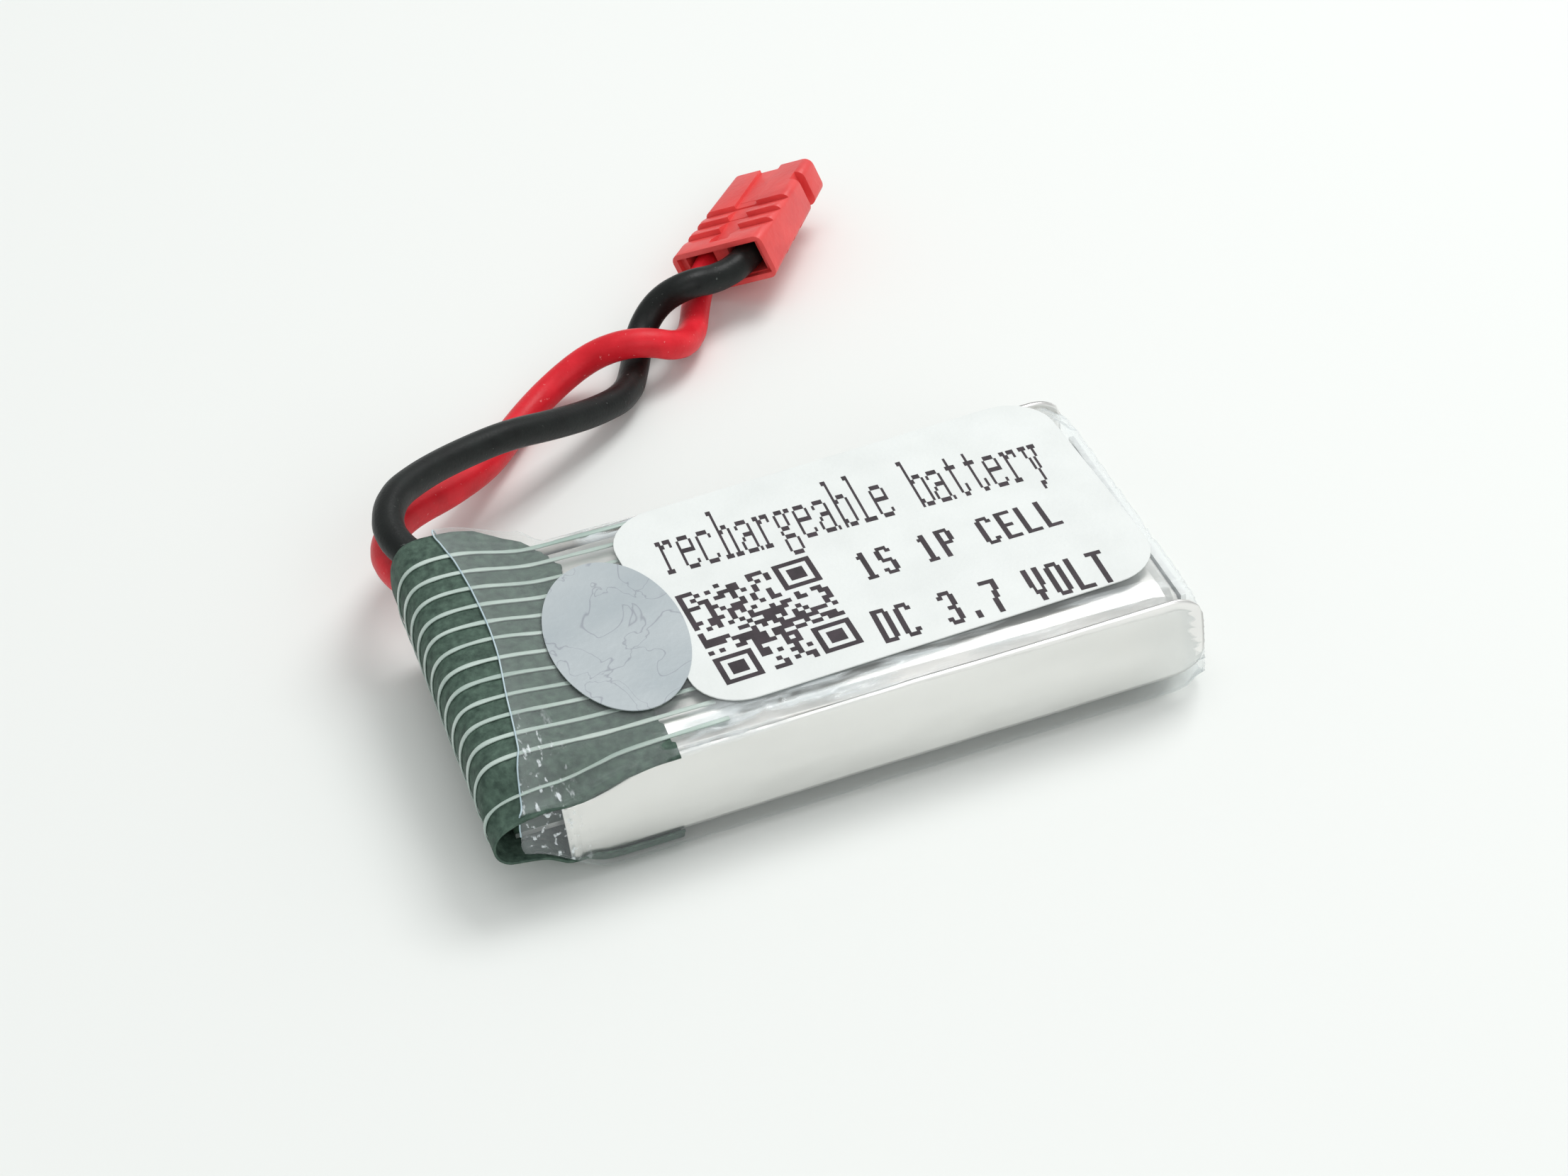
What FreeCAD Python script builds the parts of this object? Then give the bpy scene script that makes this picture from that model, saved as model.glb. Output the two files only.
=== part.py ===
"""Single-cell lithium polymer battery pack with two twisted leads and a plug.

Frame: X runs along the pack from the circuit board end (-X) to the tail (+X),
Y across it, Z up. The origin is on the underside, below the middle of the pack.
Lengths are in millimetres.
"""
import FreeCAD, Part
import math
import os
import Sketcher
from FreeCAD import Matrix, Placement, Rotation, Vector

doc = FreeCAD.newDocument("lipo_pack")

# ---------------------------------------------------------------- sizes
SIZES = {
    # pouch cell
    "cell_nose_x": -14.6,
    "cell_length": 33.6,
    "cell_width": 18.8,
    "cell_base_z": 0.36,
    "cell_height_nose": 6.3,
    "cell_height_tail": 5.6,
    "cell_edge_radius": 1.8,
    "laminate": 0.15,
    "stack_gap": 0.12,
    # folded side seals
    "flap_nose_overhang": 1.0,
    "flap_height": 4.9,
    "flap_base_z": 1.3,
    "flap_thickness": 0.22,
    "flap_gap": 0.1,
    "flap_bow": 0.12,
    "tail_fold_thickness": 0.3,
    "tail_fold_gap": 0.1,
    "tail_fold_margin": 1.2,
    # terrace, tabs and board
    "terrace_length": 3.4,
    "terrace_margin": 0.9,
    "terrace_thickness": 0.3,
    "terrace_z": 2.86,
    "tab_width": 3.0,
    "tab_thickness": 0.1,
    "tab_spacing": 8.0,
    "tab_gap": 0.2,
    "sealant_width": 4.4,
    "sealant_length": 1.3,
    "board_length": 15.6,
    "board_width": 2.7,
    "board_thickness": 0.6,
    "board_gap": 0.05,
    "chip_gap": 0.02,
    # wraps
    "paper_thickness": 0.15,
    "paper_far_margin": 1.4,
    "paper_arm_top": 5.2,
    "paper_arm_under": 7.6,
    "paper_clearance": 0.06,
    "paper_flap_gap": 0.4,
    "paper_top_free": 2.0,
    "nose_reach": 4.6,
    "nose_rise_near": 0.44,
    "nose_rise_far": 1.39,
    "nose_strand_reach": 2.2,
    "nose_pinch": 2.1,
    "nose_pinch_width": 1.9,
    "nose_under_z": 2.4,
    "strand_width": 0.34,
    "strand_thickness": 0.09,
    "strand_pitch": 1.45,
    "strand_count": 13,
    "strand_overhang": 3.2,
    "strand_gap": 0.02,
    "film_thickness": 0.06,
    "film_nose_margin": 2.34,
    "film_clearance": 0.08,
    # label and sticker
    "label_length": 25.9,
    "label_width": 17.0,
    "label_thickness": 0.08,
    "label_corner": 2.8,
    "label_tail_gap": 0.65,
    "label_y": 0.86,
    "label_turn": 2.6,
    "sticker_length": 12.6,
    "sticker_width": 7.3,
    "sticker_thickness": 0.06,
    "sticker_x": -9.7,
    "sticker_y": -0.5,
    "print_gap": 0.03,
    # leads
    "lead_diameter": 1.8,
    "core_diameter": 0.9,
    "core_end_length": 1.4,
    "solder_radius": 0.55,
    "lead_in_plug": 2.6,
    # plug housing
    "plug_width": 6.7,
    "plug_front_width": 6.05,
    "plug_height": 3.0,
    "plug_front_height": 2.4,
    "plug_length": 9.9,
    "plug_pitch": 3.1,
    "plug_entry_gap": 0.13,
    "plug_entry_depth": 3.4,
    "plug_bore_gap": 0.1,
    "plug_edge_chamfer": 0.18,
    "plug_channel_width": 1.5,
    "plug_channel_depth": 0.45,
    "plug_rib_count": 3,
    "plug_rib_pitch": 1.45,
    "plug_rib_depth": 0.35,
    "plug_rib_start": 1.2,
    "plug_rim_length": 0.7,
    "plug_rim_wall": 0.35,
    "plug_recess_depth": 0.4,
    "plug_latch_depth": 0.5,
    "plug_latch_length": 0.9,
    "plug_head_length": 1.7,
    "contact_diameter": 1.3,
    "contact_wall": 0.15,
    "contact_gap": 0.1,
    "contact_slot": 0.2,
    "contact_slot_length": 2.4,
    "contact_recess": 0.6,
    "crimp_length": 1.6,
}

sheet = doc.addObject("Spreadsheet::Sheet", "Sizes")
for row, (name, value) in enumerate(SIZES.items(), start=1):
    sheet.set("A%d" % row, name)
    sheet.set("B%d" % row, str(value))
    sheet.setAlias("B%d" % row, name)
doc.recompute()


def size(name):
    """The value that the sheet holds for one named size."""
    return float(getattr(sheet, name))


def expression(text):
    """An expression in sheet words, with the sheet's name put before each."""
    out = []
    for word in text.replace("(", " ( ").replace(")", " ) ").split():
        out.append("Sizes." + word if word in SIZES else word)
    return " ".join(out)


def bind(thing, **sizes):
    """Tie properties of an object to cells of the sheet."""
    for prop, text in sizes.items():
        thing.setExpression(prop, expression(text))


# ---------------------------------------------------------------- helpers
NODES = []


def node(thing, label):
    """Give a finished sub-part its name and put it on the export list."""
    thing.Label = label
    NODES.append(thing)
    return thing


def primitive(kind, label, place=("0", "0", "0"), turn=None, **sizes):
    """A Part primitive whose sizes and place are expressions on the sheet."""
    thing = doc.addObject("Part::" + kind, label)
    if turn is not None:
        thing.Placement = Placement(Vector(), turn)
    bind(thing, **sizes)
    for axis, text in zip("xyz", place):
        thing.setExpression("Placement.Base." + axis, expression(text))
    return thing


def box(label, length, width, height, x, y, z):
    """A plain block that is a sub-part of its own."""
    return node(primitive("Box", label, (x, y, z), Length=length, Width=width, Height=height), label)


def cut(label, base, tools):
    """A Part cut of one object by one or more others."""
    tool = tools[0]
    if len(tools) > 1:
        tool = doc.addObject("Part::MultiFuse", label + "_cutters")
        tool.Shapes = tools
    thing = doc.addObject("Part::Cut", label)
    thing.Base = base
    thing.Tool = tool
    return thing


def feature(label, shape, place=None):
    """A Part feature that holds a shape made with Part's own functions."""
    thing = doc.addObject("Part::Feature", label)
    thing.Shape = shape
    if place is not None:
        thing.Placement = place
    return node(thing, label)


def solid_group(shapes):
    """Separate solids of one sub-part, as one compound."""
    return shapes[0] if len(shapes) == 1 else Part.makeCompound(shapes)


def plane_of(body, role):
    """The origin plane of a body with this role."""
    for part in body.Origin.OriginFeatures:
        if part.Role == role:
            return part
    raise ValueError("no plane " + role)


# ---------------------------------------------------------------- pouch cell
# The top of the cell falls towards the tail, as a folded pouch does.
nose_x = size("cell_nose_x")
tail_x = nose_x + size("cell_length")


def cell_slope():
    """Fall of the cell's top for each millimetre towards the tail."""
    return (size("cell_height_nose") - size("cell_height_tail")) / size("cell_length")


def cell_top(x):
    """Height of the cell's top at this place along the pack."""
    return size("cell_base_z") + size("cell_height_nose") - cell_slope() * (x - nose_x)


ALONG_X = Rotation(Vector(0, 0, 1), -90)


def tapered_block(label, start, length, half, low, high_start, high_end):
    """A block along X whose top falls evenly from its start to its end."""
    return primitive("Wedge", label, (start, "0", "0"), ALONG_X,
                     Ymin="0", Ymax=length, Xmin="0 - ( " + half + " )", Xmax=half,
                     X2min="0 - ( " + half + " )", X2max=half, Zmin=low, Z2min=low,
                     Zmax=high_start, Z2max=high_end)


CELL_START = "cell_nose_x"
CELL_END = "cell_nose_x + cell_length"
CELL_FALL = "( cell_height_nose - cell_height_tail ) / cell_length"


def pillow(label, inset):
    """The cell's rounded block, drawn in by an inset on every side."""
    block = tapered_block(label + "_block", CELL_START + " + ( " + inset + " )",
                          "cell_length - 2 * ( " + inset + " )",
                          "cell_width / 2 - ( " + inset + " )",
                          "cell_base_z + ( " + inset + " )",
                          "cell_base_z + cell_height_nose - ( " + inset + " )",
                          "cell_base_z + cell_height_tail - ( " + inset + " )")
    doc.recompute()
    rounded = doc.addObject("Part::Fillet", label)
    rounded.Base = block
    radius = size("cell_edge_radius")
    for word in inset.replace("+", " ").split():
        radius -= size(word) if word in SIZES else float(word)
    rounded.Edges = [(i, radius, radius) for i in range(1, len(block.Shape.Edges) + 1)]
    return rounded


def make_cell():
    """The laminate pouch as a thin shell, and the electrode stack inside it."""
    pouch = cut("cell_pouch", pillow("pouch_outside", "0"), [pillow("pouch_inside", "laminate")])
    node(pouch, "cell_pouch")
    node(pillow("electrode_stack", "laminate + stack_gap"), "electrode_stack")


def make_flap(label, side):
    """One side seal of the pouch, folded up against the cell.

    Its section is a shallow bow, so that the flap stands off the cell's rounded
    edges and its upper edge leans in.
    """
    bow = size("flap_gap") + size("flap_bow")
    inner_y = size("cell_width") / 2 + size("flap_gap")
    z0 = size("flap_base_z")
    z1 = z0 + size("flap_height")
    wall = size("flap_thickness")
    start = nose_x - size("flap_nose_overhang")
    end = tail_x + size("tail_fold_gap") + size("tail_fold_thickness")
    outline = []
    for y_off in (0, wall):
        ends = (Vector(0, inner_y + y_off, z0), Vector(0, inner_y + y_off, z1))
        middle = Vector(0, inner_y + y_off + bow, (z0 + z1) / 2)
        outline.append((ends[0], middle, ends[1]))
    low, high = outline
    edges = [Part.Arc(*low).toShape(), Part.makeLine(low[2], high[2])]
    edges += [Part.Arc(*reversed(high)).toShape(), Part.makeLine(high[0], low[0])]
    face = Part.Face(Part.Wire(edges))
    face.translate(Vector(start, 0, 0))
    flap = face.extrude(Vector(end - start, 0, 0))
    if side < 0:
        flap = flap.mirror(Vector(0, 0, 0), Vector(0, 1, 0))
    feature(label, flap)


make_cell()
make_flap("side_flap_front", -1)
make_flap("side_flap_back", 1)
box("tail_fold", "tail_fold_thickness", "cell_width - 2 * cell_edge_radius",
    "cell_height_tail - 2 * tail_fold_margin", CELL_END + " + tail_fold_gap",
    "cell_edge_radius - cell_width / 2", "cell_base_z + tail_fold_margin")

# ---------------------------------------------------------------- terrace and tabs
TERRACE_END = CELL_START + " - terrace_length"
TERRACE_WIDTH = "( cell_width - 2 * terrace_margin )"
box("terrace_seal", "terrace_length", TERRACE_WIDTH, "terrace_thickness",
    TERRACE_END, TERRACE_WIDTH + " / -2", "terrace_z")
TAB_TOP = "terrace_z + terrace_thickness"
for name, sign in (("positive", "+"), ("negative", "-")):
    middle = "0 %s tab_spacing / 2" % sign
    box(name + "_tab_sealant", "sealant_length", "sealant_width", "tab_thickness",
        CELL_START + " - sealant_length - tab_gap", middle + " - sealant_width / 2", TAB_TOP)
    box(name + "_tab", "terrace_length - sealant_length - 3 * tab_gap", "tab_width",
        "tab_thickness", TERRACE_END + " + tab_gap", middle + " - tab_width / 2", TAB_TOP)

# ---------------------------------------------------------------- protection board
board_x = nose_x - size("terrace_length") + size("board_gap")
board_z = size("terrace_z") + size("terrace_thickness") + size("tab_thickness") + size("board_gap")
board_top = board_z + size("board_thickness")
box("protection_board", "board_width", "board_length", "board_thickness",
    TERRACE_END + " + board_gap", "board_length / -2", TAB_TOP + " + tab_thickness + board_gap")


LEG_ROW = 0.8  # share of a chip's side that its row of legs takes
LEG_HEIGHT = 0.3  # share of a chip's height at which its legs end


def chip(label, places, body, leads):
    """Small parts on the board: a moulded body with metal ends or legs.

    places are (x, y) from the board's corner, body is (x, y, z) size, and leads
    is how far the metal stands out at each end along Y.
    """
    solids = []
    lx, ly, lz = body
    for px, py in places:
        x = board_x + px
        y = py
        z = board_top + size("chip_gap")
        block = Part.makeBox(lx, ly, lz, Vector(x, y, z))
        if leads:
            foot = Part.makeBox(lx * LEG_ROW, ly + 2 * leads, lz * LEG_HEIGHT,
                                Vector(x + lx * (1 - LEG_ROW) / 2, y - leads, z))
            block = block.fuse(foot).removeSplitter()
        solids.append(block)
    feature(label, solid_group(solids))


CHIP_LEG = 0.25
CHIPS = {
    "protection_chip": ([(0.6, -7.2)], (1.5, 2.6, 0.9), CHIP_LEG),
    "switch_transistor": ([(0.4, -3.7)], (1.9, 2.6, 0.8), CHIP_LEG),
    "chip_resistors": ([(0.3, -0.4), (1.6, -0.4)], (0.5, 1.0, 0.35), 0),
    "chip_capacitor": ([(0.3, 0.9)], (1.0, 0.8, 0.5), 0),
}
for name, (places, body, legs) in CHIPS.items():
    chip(name, places, body, legs)

# ---------------------------------------------------------------- wraps round the nose
paper = size("paper_thickness")
paper_near = -size("cell_width") / 2
paper_far = size("cell_width") / 2 + size("paper_far_margin")
wrap_low = size("cell_base_z") - size("paper_clearance") - paper
nose_tip = nose_x - size("nose_reach")


def nose_side(part):
    """How far along Y, from 0 at the near edge to 1 at the far edge, a place is."""
    return (part - paper_near) / (paper_far - paper_near)


def nose_points(y, over_top, over_under):
    """Control points of the paper's middle line at one place across the pack.

    It lies on the cell, swells over the leads at the far side, turns round the
    nose and comes back under the cell. At the near edge its top is pinched down.
    """
    share = nose_side(y)
    rise = size("nose_rise_near") + share * (size("nose_rise_far") - size("nose_rise_near"))
    pinch = max(0.0, 1 - (y - paper_near) / size("nose_pinch_width"))
    top = cell_top(nose_x) + rise - paper / 2 - pinch * size("nose_pinch")
    low = size("nose_under_z") + paper / 2
    lift = size("paper_clearance") + paper / 2
    flat = cell_top(nose_x + 2) + lift
    under = wrap_low + paper / 2
    third = 0.3 * (top - low)
    shape = [(nose_x + over_top, cell_top(nose_x + over_top) + lift)]
    shape += [(nose_x + 3.4, cell_top(nose_x + 3.4) + lift), (nose_x + 2.0, flat)]
    shape += [(nose_x - 0.4, flat + 0.8 * (top - flat)), (nose_x - 2.0, top + 0.05)]
    shape += [(nose_tip + 0.5, top), (nose_tip - 0.2, top - third)]
    shape += [(nose_tip - 0.2, low + third), (nose_tip + 0.5, low), (nose_x - 2.2, low)]
    shape += [(nose_x - 0.6, under + 0.8), (nose_x + 0.8, under), (nose_x + 1.5, under)]
    shape += [(nose_x + over_under, under)]
    return [Vector(x, y, z) for x, z in shape]


def offset_line(points, distance):
    """The same line moved sideways in its own XZ plane, outwards when positive."""
    out = []
    for i, point in enumerate(points):
        before = points[max(i - 1, 0)]
        after = points[min(i + 1, len(points) - 1)]
        along = (after - before).normalize()
        out.append(point + Vector(along.z, 0, -along.x) * distance)
    return out


def smooth_edge(points):
    """A smooth curve with these control points."""
    curve = Part.BSplineCurve()
    curve.buildFromPoles(points)
    return curve.toShape()


def band_section(y, over_top, over_under, inner, outer):
    """Closed section of a band that follows the paper's middle line."""
    line = nose_points(y, over_top, over_under)
    out = offset_line(line, outer)
    back = offset_line(line, inner)
    edges = [smooth_edge(out), Part.makeLine(out[-1], back[-1])]
    edges += [smooth_edge(list(reversed(back))), Part.makeLine(back[0], out[0])]
    return Part.Wire(edges)


def band(places, over_top, over_under, inner, outer):
    """A band through sections at two or more places across the pack."""
    sections = [band_section(y, over_top, over_under, inner, outer) for y in places]
    return Part.makeLoft(sections, True, True)


FILM_START = CELL_START + " + film_nose_margin"
FILM_END = CELL_END + " + tail_fold_gap + tail_fold_thickness + film_clearance + film_thickness"
FLAP_OUTSIDE = "cell_width / 2 + 2 * flap_gap + flap_bow + flap_thickness"


def make_paper():
    """The fibre paper. Its far margin stops short of the flap and the sleeve."""
    places = (paper_near, paper_near + size("nose_pinch_width"), paper_far)
    sheet_of_paper = band(places, size("paper_arm_top"), size("paper_arm_under"),
                          -paper / 2, paper / 2)
    margin_y = size("cell_width") / 2
    flap_x = nose_x - size("flap_nose_overhang") - size("paper_flap_gap")
    reach = (size("cell_length"), 2 * size("paper_far_margin"))
    low = Part.makeBox(*reach, size("flap_base_z") + size("flap_height"), Vector(flap_x, margin_y, 0))
    top = Part.makeBox(*reach, 2 * size("cell_height_nose"),
                       Vector(nose_x + size("paper_top_free"), margin_y, 0))
    feature("insulation_paper", sheet_of_paper.cut(low).cut(top))


make_paper()


def make_strands():
    """Glass filaments of the strapping tape, laid along the pack over the nose."""
    inner = paper / 2 + size("strand_gap")
    outer = inner + size("strand_thickness")
    count = int(size("strand_count"))
    first = -size("strand_pitch") * (count - 1) / 2
    strands = []
    for i in range(count):
        y = first + i * size("strand_pitch") - size("strand_width") / 2
        strands.append(band((y, y + size("strand_width")),
                            size("paper_arm_top") + size("strand_overhang"),
                            size("nose_strand_reach"), inner, outer))
    feature("filament_strands", solid_group(strands))


make_strands()

# ---------------------------------------------------------------- clear film
# A thin sleeve round the cell, its flaps and the paper's two arms, open at the
# nose and closed over the tail.
film_rise = paper + size("strand_thickness") + size("paper_clearance") + size("strand_gap")
FILM_LIFT = "paper_thickness + strand_thickness + paper_clearance + strand_gap + film_clearance"
FILM_LIFT += " + film_thickness"


def sleeve_block(label, inset, open_end):
    """The sleeve's outer block, drawn in by an inset, and run on past its open end."""
    start = FILM_START + " - " + open_end
    length = FILM_END + " - " + inset + " - ( " + start + " )"
    half = FLAP_OUTSIDE + " + film_clearance + film_thickness - " + inset
    base = "cell_base_z + cell_height_nose + " + FILM_LIFT + " - " + inset
    fall = CELL_FALL + " * ( " + start + " - ( " + CELL_START + " ) )"
    return tapered_block(label, start, length, half, inset, base + " - " + fall,
                         base + " - " + fall + " - " + CELL_FALL + " * ( " + length + " )")


def make_film():
    """The clear sleeve."""
    outer = sleeve_block("film_outside", "0", "0")
    inner = sleeve_block("film_inside", "film_thickness", "1")
    node(cut("clear_wrap", outer, [inner]), "clear_wrap")


make_film()


def film_top(x):
    """Height of the film's outer face at this place along the pack."""
    return cell_top(x) + film_rise + size("film_clearance") + size("film_thickness")


# ---------------------------------------------------------------- label and sticker
def on_film(x, y, lift, turn=0.0):
    """A placement on the film's top, tilted as the film is."""
    tilt = Rotation(Vector(0, 1, 0), math.degrees(math.atan(cell_slope())))
    spin = Rotation(Vector(0, 0, 1), turn)
    return Placement(Vector(x, y, film_top(x) + lift), tilt.multiply(spin))


def make_label():
    body = doc.addObject("PartDesign::Body", "label")
    sketch = body.newObject("Sketcher::SketchObject", "label_outline")
    sketch.AttachmentSupport = (plane_of(body, "XY_Plane"), [""])
    sketch.MapMode = "FlatFace"
    half = [size("label_length") / 2, size("label_width") / 2]
    corners = [(-1, -1), (1, -1), (1, 1), (-1, 1)]
    points = [Vector(sx * half[0], sy * half[1], 0) for sx, sy in corners]
    for i in range(4):
        sketch.addGeometry(Part.LineSegment(points[i], points[(i + 1) % 4]), False)
    for i in range(4):
        sketch.addConstraint(Sketcher.Constraint("Coincident", i, 2, (i + 1) % 4, 1))
    for i, word in ((0, "Horizontal"), (1, "Vertical"), (2, "Horizontal"), (3, "Vertical")):
        sketch.addConstraint(Sketcher.Constraint(word, i))
    sketch.addConstraint(Sketcher.Constraint("Symmetric", 0, 1, 1, 2, -1, 1))
    length = sketch.addConstraint(Sketcher.Constraint("DistanceX", 0, 1, 0, 2, 2 * half[0]))
    width = sketch.addConstraint(Sketcher.Constraint("DistanceY", 1, 1, 1, 2, 2 * half[1]))
    sketch.setExpression("Constraints[%d]" % length, "Sizes.label_length")
    sketch.setExpression("Constraints[%d]" % width, "Sizes.label_width")
    pad = body.newObject("PartDesign::Pad", "label_sheet")
    pad.Profile = sketch
    bind(pad, Length="label_thickness")
    doc.recompute()
    upright = []
    for i, edge in enumerate(pad.Shape.Edges, start=1):
        ends = edge.Vertexes
        if abs(ends[0].Z - ends[1].Z) > 0.5 * size("label_thickness"):
            upright.append("Edge%d" % i)
    fillet = body.newObject("PartDesign::Fillet", "label_corners")
    fillet.Base = (pad, upright)
    bind(fillet, Radius="label_corner")
    middle = tail_x - size("label_tail_gap") - size("label_length") / 2
    body.Placement = on_film(middle, size("label_y"), size("print_gap"), size("label_turn"))
    node(body, "label")


def make_sticker():
    rim = Part.Ellipse(Vector(0, 0, 0), size("sticker_length") / 2, size("sticker_width") / 2)
    face = Part.Face(Part.Wire(rim.toShape()))
    face.rotate(Vector(0, 0, 0), Vector(0, 0, 1), 90)
    disc = face.extrude(Vector(0, 0, size("sticker_thickness")))
    lift = 2 * size("print_gap") + size("label_thickness")
    feature("oval_sticker", disc, on_film(size("sticker_x"), size("sticker_y"), lift))


make_label()
make_sticker()

# ---------------------------------------------------------------- plug
# The plug lies on the surface on one long edge of its wire end. Its own frame is
# X across the two wires, Y along it to its front, Z towards its top.
PLUG_PLACE = Vector(7.62, 35.77, 2.70)
PLUG_ACROSS = Vector(0.728, -0.577, 0.371)
PLUG_ALONG = Vector(0.635, 0.771, -0.047)
plug_along = PLUG_ALONG.normalize()
plug_up = PLUG_ACROSS.cross(plug_along).normalize()
plug_across = plug_along.cross(plug_up).normalize()
plug_place = Placement(Matrix(plug_across.x, plug_along.x, plug_up.x, PLUG_PLACE.x,
                              plug_across.y, plug_along.y, plug_up.y, PLUG_PLACE.y,
                              plug_across.z, plug_along.z, plug_up.z, PLUG_PLACE.z, 0, 0, 0, 1))
ALONG_PLUG = Rotation(Vector(1, 0, 0), -90)
PLUG_TOP = "plug_height / 2"
CHANNEL_FLOOR = PLUG_TOP + " - plug_channel_depth"
ENTRY_WIDTH = "( lead_diameter + 2 * plug_entry_gap )"


def from_plug(x, y, z):
    """A point given in the plug's own frame, in the pack's frame."""
    return plug_place.multVec(Vector(x, y, z))


def plug_low(y):
    """Expression for the plug's underside at a place along it. The top is level."""
    fall = "( plug_height - plug_front_height ) * ( " + y + " ) / plug_length"
    return fall + " - plug_height / 2"


RIB_SHARE = 0.85  # share of the ribs' pitch that each sloping cut takes


def rib_cutter(index, side):
    """A sloping cut that leaves one saw-tooth grip rib. side is 1 above, -1 below."""
    label = "rib_cut_%s_%d" % ("above" if side > 0 else "below", index)
    start = "plug_rib_start + %d * plug_rib_pitch" % index
    end = start + " + %g * plug_rib_pitch" % RIB_SHARE
    shape = dict(Xmin="0 - plug_width", Xmax="plug_width", X2min="0 - plug_width",
                 X2max="plug_width", Ymin=start, Ymax=end)
    if side > 0:
        shape.update(Zmin=PLUG_TOP + " - 0.01", Zmax=PLUG_TOP + " + 1",
                     Z2min=PLUG_TOP + " - plug_rib_depth", Z2max=PLUG_TOP + " + 1")
    else:
        shape.update(Zmin=plug_low(start) + " - 1", Zmax=plug_low(start) + " + 0.01",
                     Z2min=plug_low(end) + " - 1", Z2max=plug_low(end) + " + plug_rib_depth")
    return primitive("Wedge", label, **shape)


def wire_side(side):
    """Expression for the middle of one wire's cavity. side is 1 or -1."""
    return "%d * plug_pitch / 2" % side


def latch_cutter():
    """The notch through one narrow side, behind the plug's head."""
    return primitive("Box", "latch_cut",
                     ("plug_front_width / 2 - plug_latch_depth",
                      "plug_length - plug_head_length - plug_latch_length", "0 - plug_height"),
                     Length="plug_width", Width="plug_latch_length", Height="2 * plug_height")


def recess_cutter():
    """The shallow recess that leaves a rim round the wire end."""
    wall = "plug_rim_wall"
    low = plug_low("plug_recess_depth")
    return primitive("Box", "recess_cut",
                     (wall + " - plug_width / 2", "0 - plug_recess_depth", low + " + " + wall),
                     Length="plug_width - 2 * " + wall, Width="2 * plug_recess_depth",
                     Height=PLUG_TOP + " - " + wall + " - ( " + low + " + " + wall + " )")


def make_plug():
    """The moulded housing: grip ribs, a channel, a latch notch, a rim and two cavities."""
    block = primitive("Wedge", "plug_block", Ymin="0", Ymax="plug_length",
                      Xmin="plug_width / -2", Xmax="plug_width / 2",
                      X2min="plug_front_width / -2", X2max="plug_front_width / 2",
                      Zmin=plug_low("0"), Zmax=PLUG_TOP, Z2min=plug_low("plug_length"), Z2max=PLUG_TOP)
    doc.recompute()
    eased = doc.addObject("Part::Chamfer", "plug_eased_block")
    eased.Base = block
    width = size("plug_edge_chamfer")
    long_edges = [i for i, edge in enumerate(block.Shape.Edges, start=1)
                  if edge.Length > 0.9 * size("plug_length")]
    eased.Edges = [(i, width, width) for i in long_edges]
    cutters = [rib_cutter(i, side) for i in range(int(size("plug_rib_count"))) for side in (1, -1)]
    cutters.append(primitive("Box", "channel_cut", ("plug_channel_width / -2", "plug_rim_length",
                                                    CHANNEL_FLOOR),
                             Length="plug_channel_width", Width="plug_length", Height="2"))
    cutters += [latch_cutter(), recess_cutter()]
    for side in (1, -1):
        name = "right" if side > 0 else "left"
        cutters.append(primitive("Box", "entry_cut_" + name,
                                 (wire_side(side) + " - " + ENTRY_WIDTH + " / 2", "-1",
                                  ENTRY_WIDTH + " / -2"),
                                 Length=ENTRY_WIDTH, Width="plug_entry_depth + 1",
                                 Height=ENTRY_WIDTH))
        cutters.append(primitive("Cylinder", "bore_cut_" + name, (wire_side(side), "-1", "0"),
                                 ALONG_PLUG, Radius="contact_diameter / 2 + plug_bore_gap",
                                 Height="plug_length + 2"))
    housing = node(cut("plug_housing", eased, cutters), "plug_housing")
    housing.Placement = plug_place


CORE_SPACE = 0.02


def make_contact(label, side):
    """A rolled socket with a crimp barrel that holds the lead's bare end."""
    x = wire_side(side)
    start = "lead_in_plug + contact_gap"
    length = "plug_length - contact_recess - ( " + start + " )"
    tube = primitive("Cylinder", label + "_tube", (x, start, "0"), ALONG_PLUG,
                     Radius="contact_diameter / 2", Height=length)
    hole = primitive("Cylinder", label + "_hole", (x, start + " + crimp_length", "0"), ALONG_PLUG,
                     Radius="contact_diameter / 2 - contact_wall", Height=length)
    grip = primitive("Cylinder", label + "_grip", (x, start + " - 1", "0"), ALONG_PLUG,
                     Radius="core_diameter / 2 + %g" % CORE_SPACE, Height="core_end_length + 1.1")
    slot = primitive("Box", label + "_slot",
                     (x + " - contact_slot / 2", "plug_length - contact_recess - contact_slot_length",
                      "0"), Length="contact_slot", Width="contact_slot_length + 1", Height="2")
    contact = node(cut(label, tube, [hole, grip, slot]), label)
    contact.Placement = plug_place


make_plug()
make_contact("plug_contact_negative", 1)
make_contact("plug_contact_positive", -1)

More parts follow.
